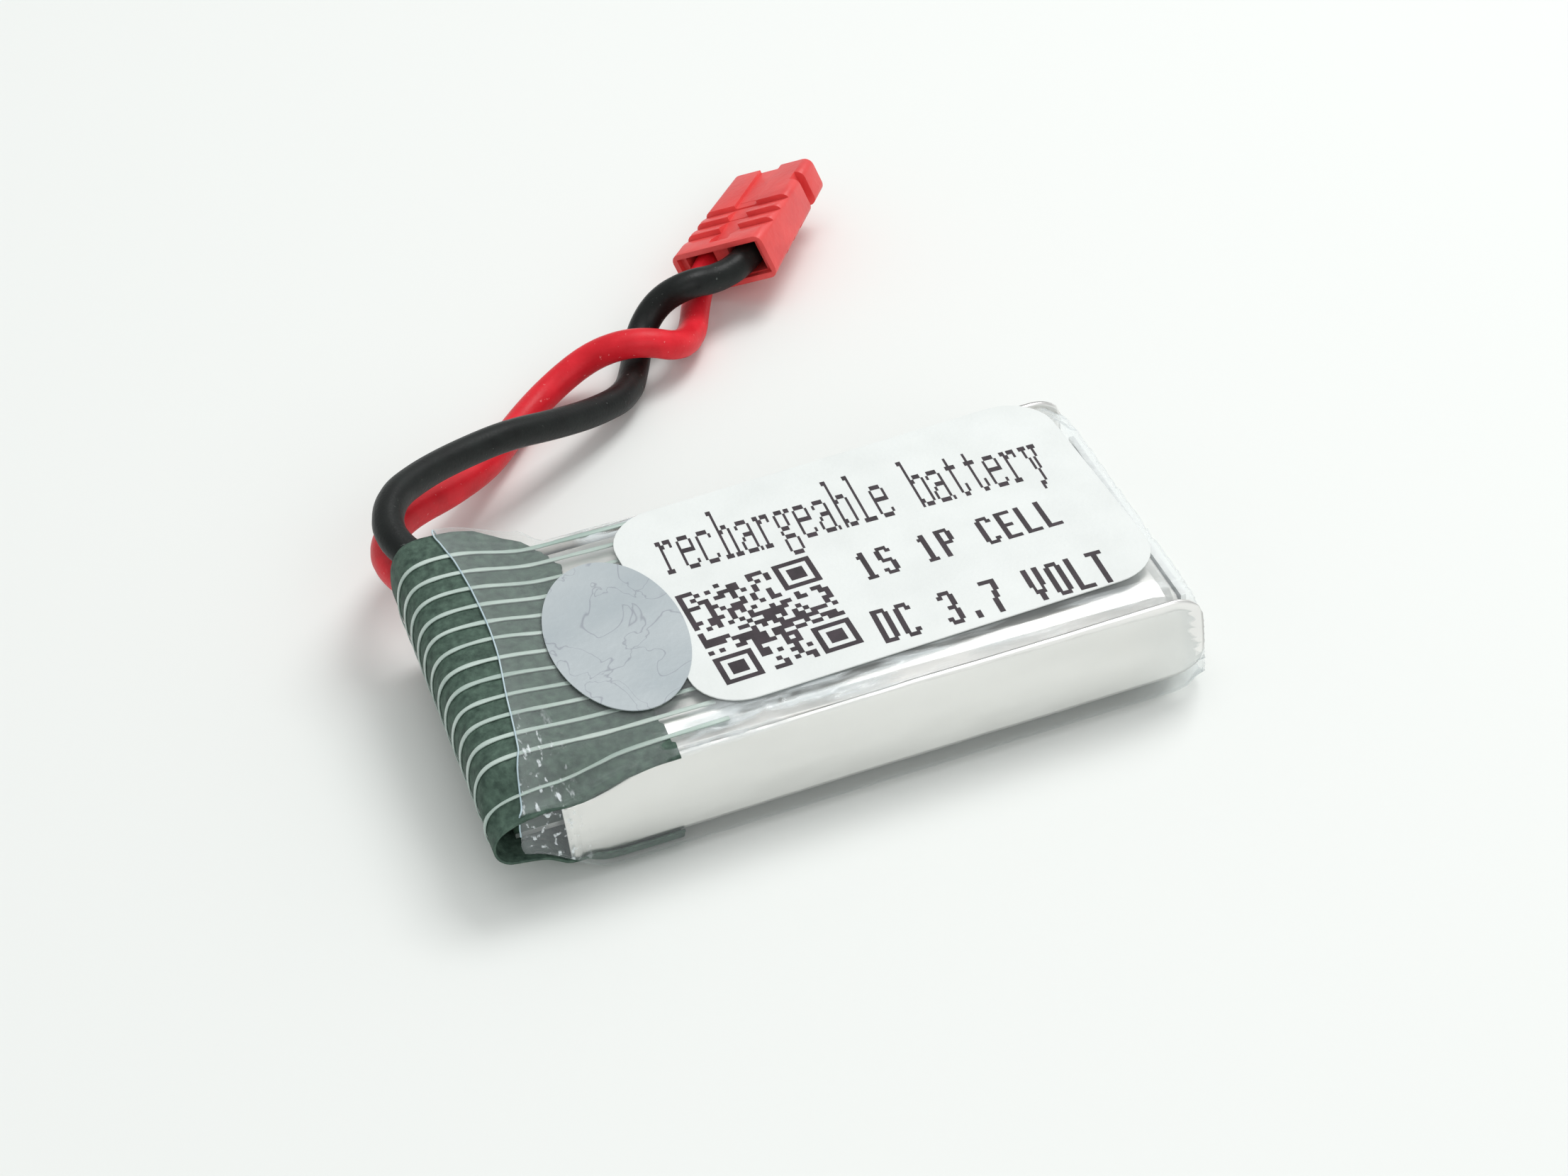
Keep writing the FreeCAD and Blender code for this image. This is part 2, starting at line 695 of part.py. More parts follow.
# ---------------------------------------------------------------- leads
black_exit = [(-16.2, 4.4, 5.6), (-16.7, 9.2, 6.5)]
black_free = [(-18.9, 12.4, 7.2), (-18.1, 15.7, 7.4), (-15.6, 18.3, 6.6), (-12.7, 20.5, 5.6),
              (-9.8, 22.1, 4.8), (-6.9, 23.6, 3.5), (-4.0, 25.4, 2.2), (-1.4, 27.4, 1.3),
              (0.0, 30.6, 1.0), (1.1, 33.1, 1.5), (2.7, 33.9, 2.8), (4.6, 33.4, 3.8)]
red_exit = [(-17.9, 6.6, 4.9), (-18.0, 10.2, 4.9)]
red_free = [(-19.2, 14.2, 4.4), (-18.3, 17.0, 4.2), (-16.5, 19.2, 3.5), (-13.7, 21.4, 2.5),
            (-10.9, 24.3, 1.5), (-8.2, 28.0, 1.0), (-5.6, 30.1, 1.3), (-3.0, 30.6, 2.4),
            (-1.0, 30.0, 3.2), (0.8, 29.6, 3.1), (2.6, 29.7, 2.1), (4.1, 31.9, 1.0)]


def plug_end(side, back, rise, slip=0.0):
    """The last three points of a lead: before the plug, in its mouth, and inside."""
    x = side * size("plug_pitch") / 2
    points = [from_plug(x - slip, -back, rise), from_plug(x, -0.1, 0)]
    points.append(from_plug(x, size("lead_in_plug"), 0))
    return [(p.x, p.y, p.z) for p in points]


black_route = black_exit + black_free + plug_end(1, 1.9, 0.15, 1.1)
red_route = red_exit + red_free + plug_end(-1, 2.3, -0.85)


ARC_SHARE = 0.45  # share of the shorter run that an arc takes at a corner


def rounded_wire(points):
    """Straight runs joined by tangent arcs, each as large as its runs allow."""
    points = [Vector(*p) for p in points]
    edges = []
    at = points[0]
    radii = []
    for before, corner, after in zip(points, points[1:], points[2:]):
        into = (corner - before).normalize()
        out = (after - corner).normalize()
        half = into.getAngle(out) / 2
        cut = ARC_SHARE * min((corner - before).Length, (after - corner).Length)
        radius = cut / math.tan(half)
        start = corner - into * cut
        end = corner + out * cut
        to_centre = (out - into).normalize()
        middle = corner + to_centre * (radius / math.cos(half) - radius)
        edges.append(Part.LineSegment(at, start).toShape())
        edges.append(Part.Arc(start, middle, end).toShape())
        at = end
        radii.append(radius)
    edges.append(Part.LineSegment(at, points[-1]).toShape())
    return Part.Wire(edges), radii


def make_lead(label, points):
    """The lead's silicone jacket, swept along its route."""
    path, radii = rounded_wire(points)
    first = Vector(*points[1]) - Vector(*points[0])
    ring = Part.Circle(Vector(*points[0]), first.normalize(), size("lead_diameter") / 2)
    tube = path.makePipeShell([Part.Wire(ring.toShape())], True, False, 2)
    section = math.pi * size("lead_diameter") ** 2 / 4
    share = tube.Volume / (section * path.Length)
    print(label, "length %.1f" % path.Length, "volume share %.3f" % share)
    print("  radii", " ".join("%.1f" % r for r in radii))
    if abs(share - 1) > 0.02:
        raise ValueError(label + " has the wrong volume")
    feature(label, tube)
    return path.Length


make_lead("black_lead", black_route)
make_lead("red_lead", red_route)


def core_end(at, along):
    """A bare stretch of tinned strands, standing out of a jacket's end."""
    return Part.makeCylinder(size("core_diameter") / 2, size("core_end_length"), at, along)


def make_cores(label, route):
    """The bare ends of one lead: one soldered to the board, one in the crimp."""
    points = [Vector(*p) for p in route]
    start = core_end(points[0], (points[0] - points[1]).normalize())
    end = core_end(points[-1], (points[-1] - points[-2]).normalize())
    feature(label, solid_group([start, end]))
    return points[0] - (points[1] - points[0]).normalize() * size("core_end_length")


black_joint = make_cores("black_lead_cores", black_route)
red_joint = make_cores("red_lead_cores", red_route)


SOLDER_GAP = 0.02
SOLDER_MARGIN = 0.05


def make_solder_joint(label, at):
    """A cone of solder from the board's pad up to the bare strands."""
    foot = board_top + SOLDER_GAP
    base = size("solder_radius")
    margin = base + SOLDER_MARGIN
    x = min(max(at.x, board_x + margin), board_x + size("board_width") - margin)
    rise = at.z - foot - size("core_diameter") / 2 - SOLDER_GAP
    cone = Part.makeCone(base, 0.8 * base, rise, Vector(x, at.y + base, foot))
    feature(label, cone)


make_solder_joint("solder_joint_negative", black_joint)
make_solder_joint("solder_joint_positive", red_joint)

# ---------------------------------------------------------------- checks and export
doc.recompute()
for thing in doc.Objects:
    if "Invalid" in thing.State or "Error" in thing.State:
        raise RuntimeError(thing.Label + " failed: " + " ".join(thing.State))
for thing in NODES:
    if thing.Shape.isNull() or not thing.Shape.isValid():
        raise RuntimeError(thing.Label + " has no valid shape")
os.makedirs("parts", exist_ok=True)
for thing in NODES:
    thing.Shape.exportStep("parts/%s.step" % thing.Label)
    span = thing.Shape.BoundBox
    print("%-26s solids %2d  x %6.2f %6.2f  y %6.2f %6.2f  z %6.2f %6.2f" % (
        thing.Label, len(thing.Shape.Solids), span.XMin, span.XMax, span.YMin, span.YMax,
        span.ZMin, span.ZMax))
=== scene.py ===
# %% [markdown]
# # A small lipo battery pack, modelled in cells
# One flat lithium polymer cell in a silver pouch. Its two side seals are folded
# up as flaps, a fibre paper and a filament tape go round the end with the
# circuit board, and a clear sleeve holds all of it. Two twisted silicone leads
# end in a red plug. The solid model is loaded first, and every piece made here
# is put in its frame: X along the pack, Y across it, Z up, in metres.

# %% Load the frame
import bpy
import math
import random
from mathutils import Matrix, Vector, noise


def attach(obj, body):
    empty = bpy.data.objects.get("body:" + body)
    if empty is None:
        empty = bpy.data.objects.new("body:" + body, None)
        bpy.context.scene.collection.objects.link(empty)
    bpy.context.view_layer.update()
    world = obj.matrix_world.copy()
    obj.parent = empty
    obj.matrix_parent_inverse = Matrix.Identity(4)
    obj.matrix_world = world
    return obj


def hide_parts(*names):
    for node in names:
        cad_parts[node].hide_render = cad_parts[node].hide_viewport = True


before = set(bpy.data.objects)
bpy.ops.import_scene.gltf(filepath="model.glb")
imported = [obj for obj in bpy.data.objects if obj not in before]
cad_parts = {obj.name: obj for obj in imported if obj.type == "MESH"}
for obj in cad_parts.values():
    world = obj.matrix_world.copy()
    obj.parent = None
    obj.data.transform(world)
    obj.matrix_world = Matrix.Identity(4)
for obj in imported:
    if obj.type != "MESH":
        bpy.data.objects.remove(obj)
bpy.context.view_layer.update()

MM = 0.001
print("nodes loaded:", len(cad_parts))


def mm(x, y, z):
    """A point given in millimetres, in Blender's metres."""
    return Vector((x * MM, y * MM, z * MM))


def deselect():
    """Nothing selected, so that the next operator acts on what it adds."""
    if bpy.context.mode != "OBJECT":
        bpy.ops.object.mode_set(mode="OBJECT")
    bpy.ops.object.select_all(action="DESELECT")


def only(obj):
    """This object alone selected and active."""
    deselect()
    obj.select_set(True)
    bpy.context.view_layer.objects.active = obj
    return obj


def joined(parts, name):
    """Several objects made into one."""
    only(parts[0])
    for part in parts:
        part.select_set(True)
    bpy.ops.object.join()
    bpy.context.object.name = name
    return bpy.context.object


# %% [markdown]
# ## Camera, floor and light
# The camera stands near and in front, looking down by about forty degrees with
# a long lens, so the pack runs away to the upper right. Light is wide and soft
# and comes mostly from the right, with a pale room all round, since a silver
# pouch shows mostly what it reflects.

# %% Camera
CAMERA_AT = (-32.97, -127.99, 115.73)
CAMERA_RIGHT = Vector((0.9413, -0.3232, -0.0972))
CAMERA_DOWN = Vector((-0.2785, -0.5812, -0.7646))
CAMERA_LENS = 74.38
forward = CAMERA_RIGHT.cross(CAMERA_DOWN).normalized()
right = CAMERA_DOWN.cross(forward).normalized()
up = right.cross(forward)
camera_data = bpy.data.cameras.new("camera")
camera_data.lens = CAMERA_LENS
camera_data.sensor_width = 36.0
camera_data.clip_start = 0.005
camera = bpy.data.objects.new("camera", camera_data)
bpy.context.scene.collection.objects.link(camera)
turn = Matrix((right, up, -forward)).transposed().to_4x4()
camera.matrix_world = Matrix.Translation(mm(*CAMERA_AT)) @ turn
bpy.context.scene.camera = camera
print("camera at", [round(v, 3) for v in camera.location])

# %% Floor and lights
deselect()
bpy.ops.mesh.primitive_plane_add(size=3.0, location=(0, 0, -0.00002))
floor = bpy.context.object
floor.name = "floor"
floor_paint = bpy.data.materials.new("floor_paint")
floor_paint.use_nodes = True
floor_shader = floor_paint.node_tree.nodes["Principled BSDF"]
floor_shader.inputs["Base Color"].default_value = (0.84, 0.86, 0.84, 1)
floor_shader.inputs["Roughness"].default_value = 0.75
floor.data.materials.append(floor_paint)


def softbox(name, at, size, power):
    """A square area light that faces the pack."""
    lamp = bpy.data.lights.new(name, "AREA")
    lamp.size = size
    lamp.energy = power
    obj = bpy.data.objects.new(name, lamp)
    bpy.context.scene.collection.objects.link(obj)
    obj.location = at
    obj.rotation_euler = (-Vector(at)).to_track_quat("-Z", "Y").to_euler()


softbox("key_light", (0.24, 0.16, 0.42), 0.22, 1.08)
softbox("top_light", (0.02, 0.05, 0.60), 0.45, 0.58)
softbox("front_light", (0.10, -0.45, 0.32), 0.35, 0.60)
room = bpy.data.worlds.new("room")
room.use_nodes = True
air = room.node_tree.nodes["Background"]
air.inputs["Color"].default_value = (0.97, 0.985, 0.98, 1)
air.inputs["Strength"].default_value = 0.55
bpy.context.scene.world = room
bpy.context.scene.view_settings.view_transform = "Standard"
print("three soft lights and a pale room")

# %% [markdown]
# ## How a finish is made
# No surface here is one flat colour. Each finish lets its colour and roughness
# wander a little between two values, by noise on Object coordinates, and adds a
# bump fine enough for the material: moulded nylon, foil, silicone and paper
# differ mostly in the size of that grain.

# %% Finish helpers


def node(tree, kind, **values):
    """A shader node with some of its inputs set. An underscore stands for a space."""
    made = tree.nodes.new("ShaderNode" + kind)
    for key, value in values.items():
        made.inputs[key.replace("_", " ")].default_value = value
    return made


def colour(shade):
    """A colour of three numbers, with its alpha."""
    return (*shade, 1.0)


def ramp(tree, source, stops):
    """A colour ramp with these (place, shade) stops, fed from a socket."""
    made = tree.nodes.new("ShaderNodeValToRGB")
    marks = made.color_ramp.elements
    while len(marks) < len(stops):
        marks.new(0.5)
    for mark, (place, shade) in zip(marks, stops):
        mark.position = place
        mark.color = colour(shade)
    tree.links.new(source, made.inputs["Fac"])
    return made


def grain(tree, place, scale, detail=4.0, stretch=None, **more):
    """Noise of one size, on Object coordinates. stretch scales each axis."""
    at = place.outputs["Object"]
    if stretch is not None:
        turned = node(tree, "Mapping", Scale=stretch)
        tree.links.new(at, turned.inputs["Vector"])
        at = turned.outputs["Vector"]
    made = node(tree, "TexNoise", Scale=scale, Detail=detail, **more)
    tree.links.new(at, made.inputs["Vector"])
    return made.outputs["Fac"]


def between(tree, source, low, high):
    """A socket's 0 to 1 brought to low to high."""
    made = node(tree, "MapRange", To_Min=low, To_Max=high)
    tree.links.new(source, made.inputs["Value"])
    return made.outputs["Result"]


def rising(tree, source, start, end, high):
    """0 up to start and high from end on. The end may lie on either side of the start."""
    made = node(tree, "MapRange", From_Min=start, From_Max=end, To_Max=high)
    tree.links.new(source, made.inputs["Value"])
    return made.outputs["Result"]


def combine(tree, kind, a, b=None):
    """A math node on a socket, with another socket or a number."""
    made = tree.nodes.new("ShaderNodeMath")
    made.operation = kind
    tree.links.new(a, made.inputs[0])
    if isinstance(b, float):
        made.inputs[1].default_value = b
    elif b is not None:
        tree.links.new(b, made.inputs[1])
    return made.outputs["Value"]


def product(tree, first, *others):
    """The product of some sockets."""
    for other in others:
        first = combine(tree, "MULTIPLY", first, other)
    return first


def bumped(tree, source, strength, depth):
    """A bump of this depth in metres."""
    made = node(tree, "Bump", Strength=strength, Distance=depth)
    tree.links.new(source, made.inputs["Height"])
    return made.outputs["Normal"]


def finish(name, dark, light, rough, cloud, fine, depth, metal=0.0, stretch=None, **sockets):
    """A finish with two shades, a wandering roughness and a fine bump."""
    mat = bpy.data.materials.new(name)
    mat.use_nodes = True
    tree = mat.node_tree
    shader = tree.nodes["Principled BSDF"]
    place = tree.nodes.new("ShaderNodeTexCoord")
    clouds = grain(tree, place, cloud, stretch=stretch)
    tint = ramp(tree, clouds, [(0.3, dark), (0.7, light)])
    tree.links.new(tint.outputs["Color"], shader.inputs["Base Color"])
    tree.links.new(between(tree, clouds, 0.8 * rough, min(1.0, 1.25 * rough)),
                   shader.inputs["Roughness"])
    tree.links.new(bumped(tree, grain(tree, place, fine, stretch=stretch), 0.6, depth),
                   shader.inputs["Normal"])
    shader.inputs["Metallic"].default_value = metal
    for key, value in sockets.items():
        shader.inputs[key.replace("_", " ")].default_value = value
    return mat


def marked(mat, mask, shade):
    """Another shade over a finish's own colour, where a mask is light."""
    tree = mat.node_tree
    shader = tree.nodes["Principled BSDF"]
    base = shader.inputs["Base Color"].links[0].from_socket
    mixed = tree.nodes.new("ShaderNodeMix")
    mixed.data_type = "RGBA"
    mixed.inputs["B"].default_value = colour(shade)
    tree.links.new(mask.outputs["Color"], mixed.inputs["Factor"])
    tree.links.new(base, mixed.inputs["A"])
    tree.links.new(mixed.outputs["Result"], shader.inputs["Base Color"])


def wear(obj, mat):
    """Put one finish on an object, in place of what it had."""
    obj.data.materials.clear()
    obj.data.materials.append(mat)


# %% [markdown]
# ## The two leads
# Soft silicone wires, 1.8 mm thick and about 50 mm long each. They are soldered
# to the board inside the nose, come out of its open far end, twist round each
# other once and go into the plug. A lead is a smooth NURBS line through listed
# control points, with a round bevel: that bends as wire does, where a chain of
# arcs would look stiff. The points are the solid model's own route.

# %% Silicone


def silicone(name, dark, light, dust):
    """Matt silicone with a faint bloom and a few light specks of dust on it."""
    mat = finish(name, dark, light, 0.42, 700.0, 5200.0, 0.00003,
                 Specular_IOR_Level=0.26)
    tree = mat.node_tree
    place = tree.nodes.new("ShaderNodeTexCoord")
    flecks = grain(tree, place, 3300.0, 2.0)
    marked(mat, ramp(tree, flecks, [(0.70, (0, 0, 0)), (0.76, (1, 1, 1))]), dust)
    return mat


black_silicone = silicone("black_silicone", (0.003, 0.004, 0.004), (0.008, 0.011, 0.010),
                          (0.07, 0.08, 0.075))
red_silicone = silicone("red_silicone", (0.62, 0.010, 0.020), (0.78, 0.018, 0.032),
                        (0.80, 0.22, 0.22))

# %% Leads
LEAD_DIAMETER = 1.8
BLACK_ROUTE = [(-16.2, 4.4, 5.6), (-16.7, 9.2, 6.5), (-18.9, 12.4, 7.2), (-18.1, 15.7, 7.4),
               (-15.6, 18.3, 6.6), (-12.7, 20.5, 5.6), (-9.8, 22.1, 4.8), (-6.9, 23.6, 3.5),
               (-4.0, 25.4, 2.2), (-1.4, 27.4, 1.3), (0.0, 30.6, 1.0), (1.1, 33.1, 1.5),
               (2.7, 33.9, 2.8), (4.6, 33.4, 3.8), (6.7, 34.09, 3.1), (8.68, 34.8, 3.28),
               (10.4, 36.88, 3.15)]
RED_ROUTE = [(-17.9, 6.6, 4.9), (-18.0, 10.2, 4.9), (-19.2, 14.2, 4.4), (-18.3, 17.0, 4.2),
             (-16.5, 19.2, 3.5), (-13.7, 21.4, 2.5), (-10.9, 24.3, 1.5), (-8.2, 28.0, 1.0),
             (-5.6, 30.1, 1.3), (-3.0, 30.6, 2.4), (-1.0, 30.0, 3.2), (0.8, 29.6, 3.1),
             (2.6, 29.7, 2.1), (4.1, 31.9, 1.0), (5.25, 34.66, 1.44), (6.43, 36.59, 2.13),
             (8.14, 38.67, 2.0)]


def lead(name, route, mat):
    """One lead as a bevelled NURBS line, in place of its solid."""
    curve = bpy.data.curves.new(name, "CURVE")
    curve.dimensions = "3D"
    curve.bevel_depth = LEAD_DIAMETER / 2 * MM
    curve.bevel_resolution = 6
    curve.resolution_u = 14
    curve.use_fill_caps = True
    spline = curve.splines.new("NURBS")
    spline.points.add(len(route) - 1)
    for point, place in zip(spline.points, route):
        point.co = (*mm(*place), 1.0)
    spline.order_u = 3
    spline.use_endpoint_u = True
    spline.use_smooth = True
    obj = bpy.data.objects.new(name + "_wire", curve)
    bpy.context.scene.collection.objects.link(obj)
    curve.materials.append(mat)
    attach(obj, "root")
    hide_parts(name)
    print(name, "has", len(route), "control points")
    return obj


black_lead = lead("black_lead", BLACK_ROUTE, black_silicone)
red_lead = lead("red_lead", RED_ROUTE, red_silicone)

# %% [markdown]
# ## The plug
# A moulded nylon housing for two wires: a rim round the wire end, three
# saw-tooth grip ribs above and below, a shallow channel down the middle of the
# top, a notch in one narrow side near the front, and a square mouth for each
# wire. It starts as a cube that is tapered in edit mode, with its four long
# edges rounded. The ribs, channel, notch and mouths are cut with booleans, as a
# mould's inserts would form them, and a small bevel then rounds every edge.

# %% Block and cutters in the plug's own frame
# Y runs from the wire end to the front and Z is up, in mm.
PLUG_PLACE = (7.62, 35.77, 2.70)
PLUG_ACROSS = Vector((0.728, -0.577, 0.371))
PLUG_ALONG = Vector((0.635, 0.771, -0.047))
PLUG_SIZE = (6.7, 9.9, 3.0)
PLUG_FRONT = (6.05, 2.4)
PLUG_PITCH = 3.1
PLUG_RIM = 0.35
PLUG_ROUNDING = 0.55
RIB_START, RIB_PITCH, RIB_DEPTH = 1.2, 1.45, 0.35
RIB_SHARE = 0.85
DIP_HALF, DIP_START, DIP_DEPTH = 0.8, 5.0, 0.22
CHANNEL_HALF, CHANNEL_Y, CHANNEL_DEPTH, CHANNEL_RISE = 0.7, (0.7, 5.9), 0.44, 0.2
NOTCH_Y, NOTCH_DEPTH = (7.3, 8.2), 0.5
RECESS = 0.4
MOUTH_HALF, MOUTH_DEPTH, BORE = 1.03, 3.4, 0.75


def block(name, low, high):
    """A cube primitive between two corners, in millimetres, with its place in its mesh."""
    deselect()
    size = [b - a for a, b in zip(low, high)]
    middle = [(a + b) / 2 for a, b in zip(low, high)]
    bpy.ops.mesh.primitive_cube_add(size=1, location=mm(*middle))
    obj = bpy.context.object
    obj.name = name
    obj.scale = mm(*size)
    bpy.ops.object.transform_apply(location=True, rotation=True, scale=True)
    return obj


def select_none(obj, kind):
    """Select mode for this kind of element, with none of the mesh selected."""
    only(obj)
    bpy.ops.object.mode_set(mode="EDIT")
    bpy.ops.mesh.select_mode(type=kind)
    bpy.ops.mesh.select_all(action="DESELECT")
    bpy.ops.object.mode_set(mode="OBJECT")


def pick(obj, test):
    """Edit mode with only the corners selected whose place in mm passes a test."""
    select_none(obj, "VERT")
    for corner in obj.data.vertices:
        corner.select = test(corner.co / MM)
    bpy.ops.object.mode_set(mode="EDIT")


def shift(obj, test, move):
    """Move the corners whose place in mm passes a test."""
    pick(obj, test)
    bpy.ops.transform.translate(value=mm(*move))
    bpy.ops.object.mode_set(mode="OBJECT")


def plug_low(y):
    """Height of the plug's underside, which rises towards its front."""
    return -PLUG_SIZE[2] / 2 + (PLUG_SIZE[2] - PLUG_FRONT[1]) * y / PLUG_SIZE[1]


width, length, height = PLUG_SIZE
housing = block("plug_shell", (-width / 2, 0, -height / 2), (width / 2, length, height / 2))
pick(housing, lambda p: p.y > length / 2)
bpy.ops.transform.resize(value=(PLUG_FRONT[0] / width, 1, 1))
bpy.ops.object.mode_set(mode="OBJECT")
shift(housing, lambda p: p.y > length / 2 and p.z < 0, (0, 0, height - PLUG_FRONT[1]))
select_none(housing, "EDGE")
for edge in housing.data.edges:
    ends = [housing.data.vertices[i].co.y for i in edge.vertices]
    edge.select = abs(ends[0] - ends[1]) > length / 2 * MM
bpy.ops.object.mode_set(mode="EDIT")
bpy.ops.mesh.bevel(offset=PLUG_ROUNDING * MM, segments=5, affect="EDGES")
bpy.ops.object.mode_set(mode="OBJECT")


def carve(obj, cutter):
    """Cut one object with another, which is then removed."""
    only(obj)
    tool = obj.modifiers.new("cut", "BOOLEAN")
    tool.operation = "DIFFERENCE"
    tool.solver = "EXACT"
    tool.object = cutter
    bpy.ops.object.modifier_apply(modifier="cut")
    bpy.data.objects.remove(cutter, do_unlink=True)


for rib in range(3):
    start = RIB_START + rib * RIB_PITCH
    end = start + RIB_SHARE * RIB_PITCH
    tooth = block("tooth", (-width, start, height / 2 - 0.01), (width, end, height / 2 + 1))
    shift(tooth, lambda p: p.y > (start + end) / 2 and p.z < height / 2 + 0.5,
          (0, 0, -RIB_DEPTH))
    carve(housing, tooth)
    tooth = block("tooth", (-width, start, -height), (width, end, plug_low(start) + 0.01))
    shift(tooth, lambda p: p.y > (start + end) / 2 and p.z > -height + 0.5,
          (0, 0, plug_low(end) - plug_low(start) + RIB_DEPTH))
    carve(housing, tooth)
carve(housing, block("dip", (-DIP_HALF, DIP_START, height / 2 - DIP_DEPTH),
                     (DIP_HALF, length + 1, height)))
channel = block("channel", (-CHANNEL_HALF, CHANNEL_Y[0], height / 2 - CHANNEL_DEPTH),
                (CHANNEL_HALF, CHANNEL_Y[1], height))
shift(channel, lambda p: p.y > sum(CHANNEL_Y) / 2 and p.z < height - 0.5,
      (0, 0, CHANNEL_RISE))
carve(housing, channel)
carve(housing, block("notch", (PLUG_FRONT[0] / 2 - NOTCH_DEPTH, NOTCH_Y[0], -height),
                     (width, NOTCH_Y[1], height)))
carve(housing, block("recess", (PLUG_RIM - width / 2, -1, PLUG_RIM + plug_low(RECESS)),
                     (width / 2 - PLUG_RIM, RECESS, height / 2 - PLUG_RIM)))
for side in (1, -1):
    middle = side * PLUG_PITCH / 2
    carve(housing, block("mouth", (middle - MOUTH_HALF, -1, -MOUTH_HALF),
                         (middle + MOUTH_HALF, MOUTH_DEPTH, MOUTH_HALF)))
    deselect()
    bpy.ops.mesh.primitive_cylinder_add(vertices=32, radius=BORE * MM, depth=length * 3 * MM,
                                        location=mm(middle, 0, 0), rotation=(math.pi / 2, 0, 0))
    bpy.ops.object.transform_apply(location=True, rotation=True, scale=True)
    carve(housing, bpy.context.object)
print("plug shell carved:", len(housing.data.polygons), "faces")

# %% Round the plug's edges and put it in place


def modify(obj, kind, **values):
    """Add a modifier, set it and apply it."""
    only(obj)
    tool = obj.modifiers.new("step", kind)
    for key, value in values.items():
        setattr(tool, key, value)
    bpy.ops.object.modifier_apply(modifier="step")


def plug_frame():
    """The plug's own axes and place, as a matrix."""
    along = PLUG_ALONG.normalized()
    top = PLUG_ACROSS.cross(along).normalized()
    across = along.cross(top)
    axes = Matrix((across, along, top)).transposed().to_4x4()
    return Matrix.Translation(mm(*PLUG_PLACE)) @ axes


modify(housing, "BEVEL", width=0.10 * MM, segments=3, limit_method="ANGLE",
       angle_limit=math.radians(25), use_clamp_overlap=True)
only(housing)
bpy.ops.object.shade_smooth_by_angle(angle=math.radians(50))
housing.matrix_world = plug_frame()
bpy.ops.object.transform_apply(location=True, rotation=True, scale=True)
red_nylon = finish("red_nylon", (0.70, 0.055, 0.055), (0.84, 0.085, 0.080), 0.40, 420.0, 2600.0,
                   0.00006, Subsurface_Weight=0.08, Subsurface_Scale=0.0006)
wear(housing, red_nylon)


def settle(obj, slot, *nodes):
    """Hang a finished piece on the root and hide the nodes that it stands for. slot is not used.
    """
    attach(obj, "root")
    for name in nodes:
        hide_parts(name)
    print(obj.name, "faces", len(obj.data.polygons))


settle(housing, "red_nylon", "plug_housing")

# %% [markdown]
# ## The silver pouch and its flaps
# The pouch is aluminium laminate: a soft satin silver, slightly dented. It is a
# cube tapered to the cell's slope, bevelled to its rounded edges and
# subdivided, with small dents from noise. A flap is a strip that bows away from
# the cell and waves a little along its length, since the seal was folded by
# hand. The front one falls towards the nose.

# %% Laminate
CELL_X = (-14.6, 19.0)
CELL_HALF = 9.4
CELL_BASE = 0.36
CELL_TOP = (6.66, 5.96)
CELL_EDGE = 1.8
CELL_MIDDLE_Z = 3.3
DENT_DEPTH, DENT_SIZE = 0.10, 3.5


def cell_top(x):
    """Height of the pouch's top at this place along it, in mm."""
    share = (x - CELL_X[0]) / (CELL_X[1] - CELL_X[0])
    return CELL_TOP[0] + share * (CELL_TOP[1] - CELL_TOP[0])


laminate = finish("laminate", (0.83, 0.82, 0.805), (0.945, 0.935, 0.92), 0.36, 260.0, 700.0,
                  0.00007, metal=1.0, stretch=(0.25, 1, 1))


def ripple(p, size, seed):
    """Smooth noise at a place in mm, about -1 to 1, for waves of this size in mm."""
    return noise.noise(Vector((p[0] / size + seed, p[1] / size - seed, p[2] / size)))


# %% Pouch
pouch = block("pouch", (CELL_X[0], -CELL_HALF, CELL_BASE), (CELL_X[1], CELL_HALF, CELL_TOP[0]))
shift(pouch, lambda p: p.x > 0 and p.z > CELL_MIDDLE_Z, (0, 0, CELL_TOP[1] - CELL_TOP[0]))
modify(pouch, "BEVEL", width=CELL_EDGE * MM, segments=4, limit_method="NONE")
only(pouch)
bpy.ops.object.mode_set(mode="EDIT")
bpy.ops.mesh.select_all(action="SELECT")
bpy.ops.mesh.subdivide(number_cuts=14)
bpy.ops.object.mode_set(mode="OBJECT")
for corner in pouch.data.vertices:
    place = corner.co / MM
    inwards = Vector((0, -place.y / CELL_HALF, CELL_MIDDLE_Z - place.z)).normalized()
    corner.co += inwards * DENT_DEPTH * abs(ripple(place, DENT_SIZE, 7.0)) * MM
only(pouch)
bpy.ops.object.shade_smooth()
wear(pouch, laminate)
settle(pouch, "laminate", "cell_pouch")

# %% Sheets made from a grid


def smooth(value):
    """0 below 0, 1 above 1 and an even S in between."""
    value = min(1.0, max(0.0, value))
    return value * value * (3 - 2 * value)


def grid_sheet(name, across, along, place):
    """A grid whose corners are put where place(u, v) says, in mm. u and v run 0 to 1."""
    deselect()
    bpy.ops.mesh.primitive_grid_add(x_subdivisions=across, y_subdivisions=along, size=1)
    obj = bpy.context.object
    obj.name = name
    for corner in obj.data.vertices:
        corner.co = mm(*place(corner.co.x + 0.5, corner.co.y + 0.5))
    bpy.ops.object.shade_smooth()
    return obj


def mend_normals(obj):
    """Merge doubles and make the faces agree."""
    only(obj)
    bpy.ops.object.mode_set(mode="EDIT")
    bpy.ops.mesh.select_all(action="SELECT")
    bpy.ops.mesh.remove_doubles(threshold=0.000001)
    bpy.ops.mesh.normals_make_consistent(inside=False)
    bpy.ops.object.mode_set(mode="OBJECT")


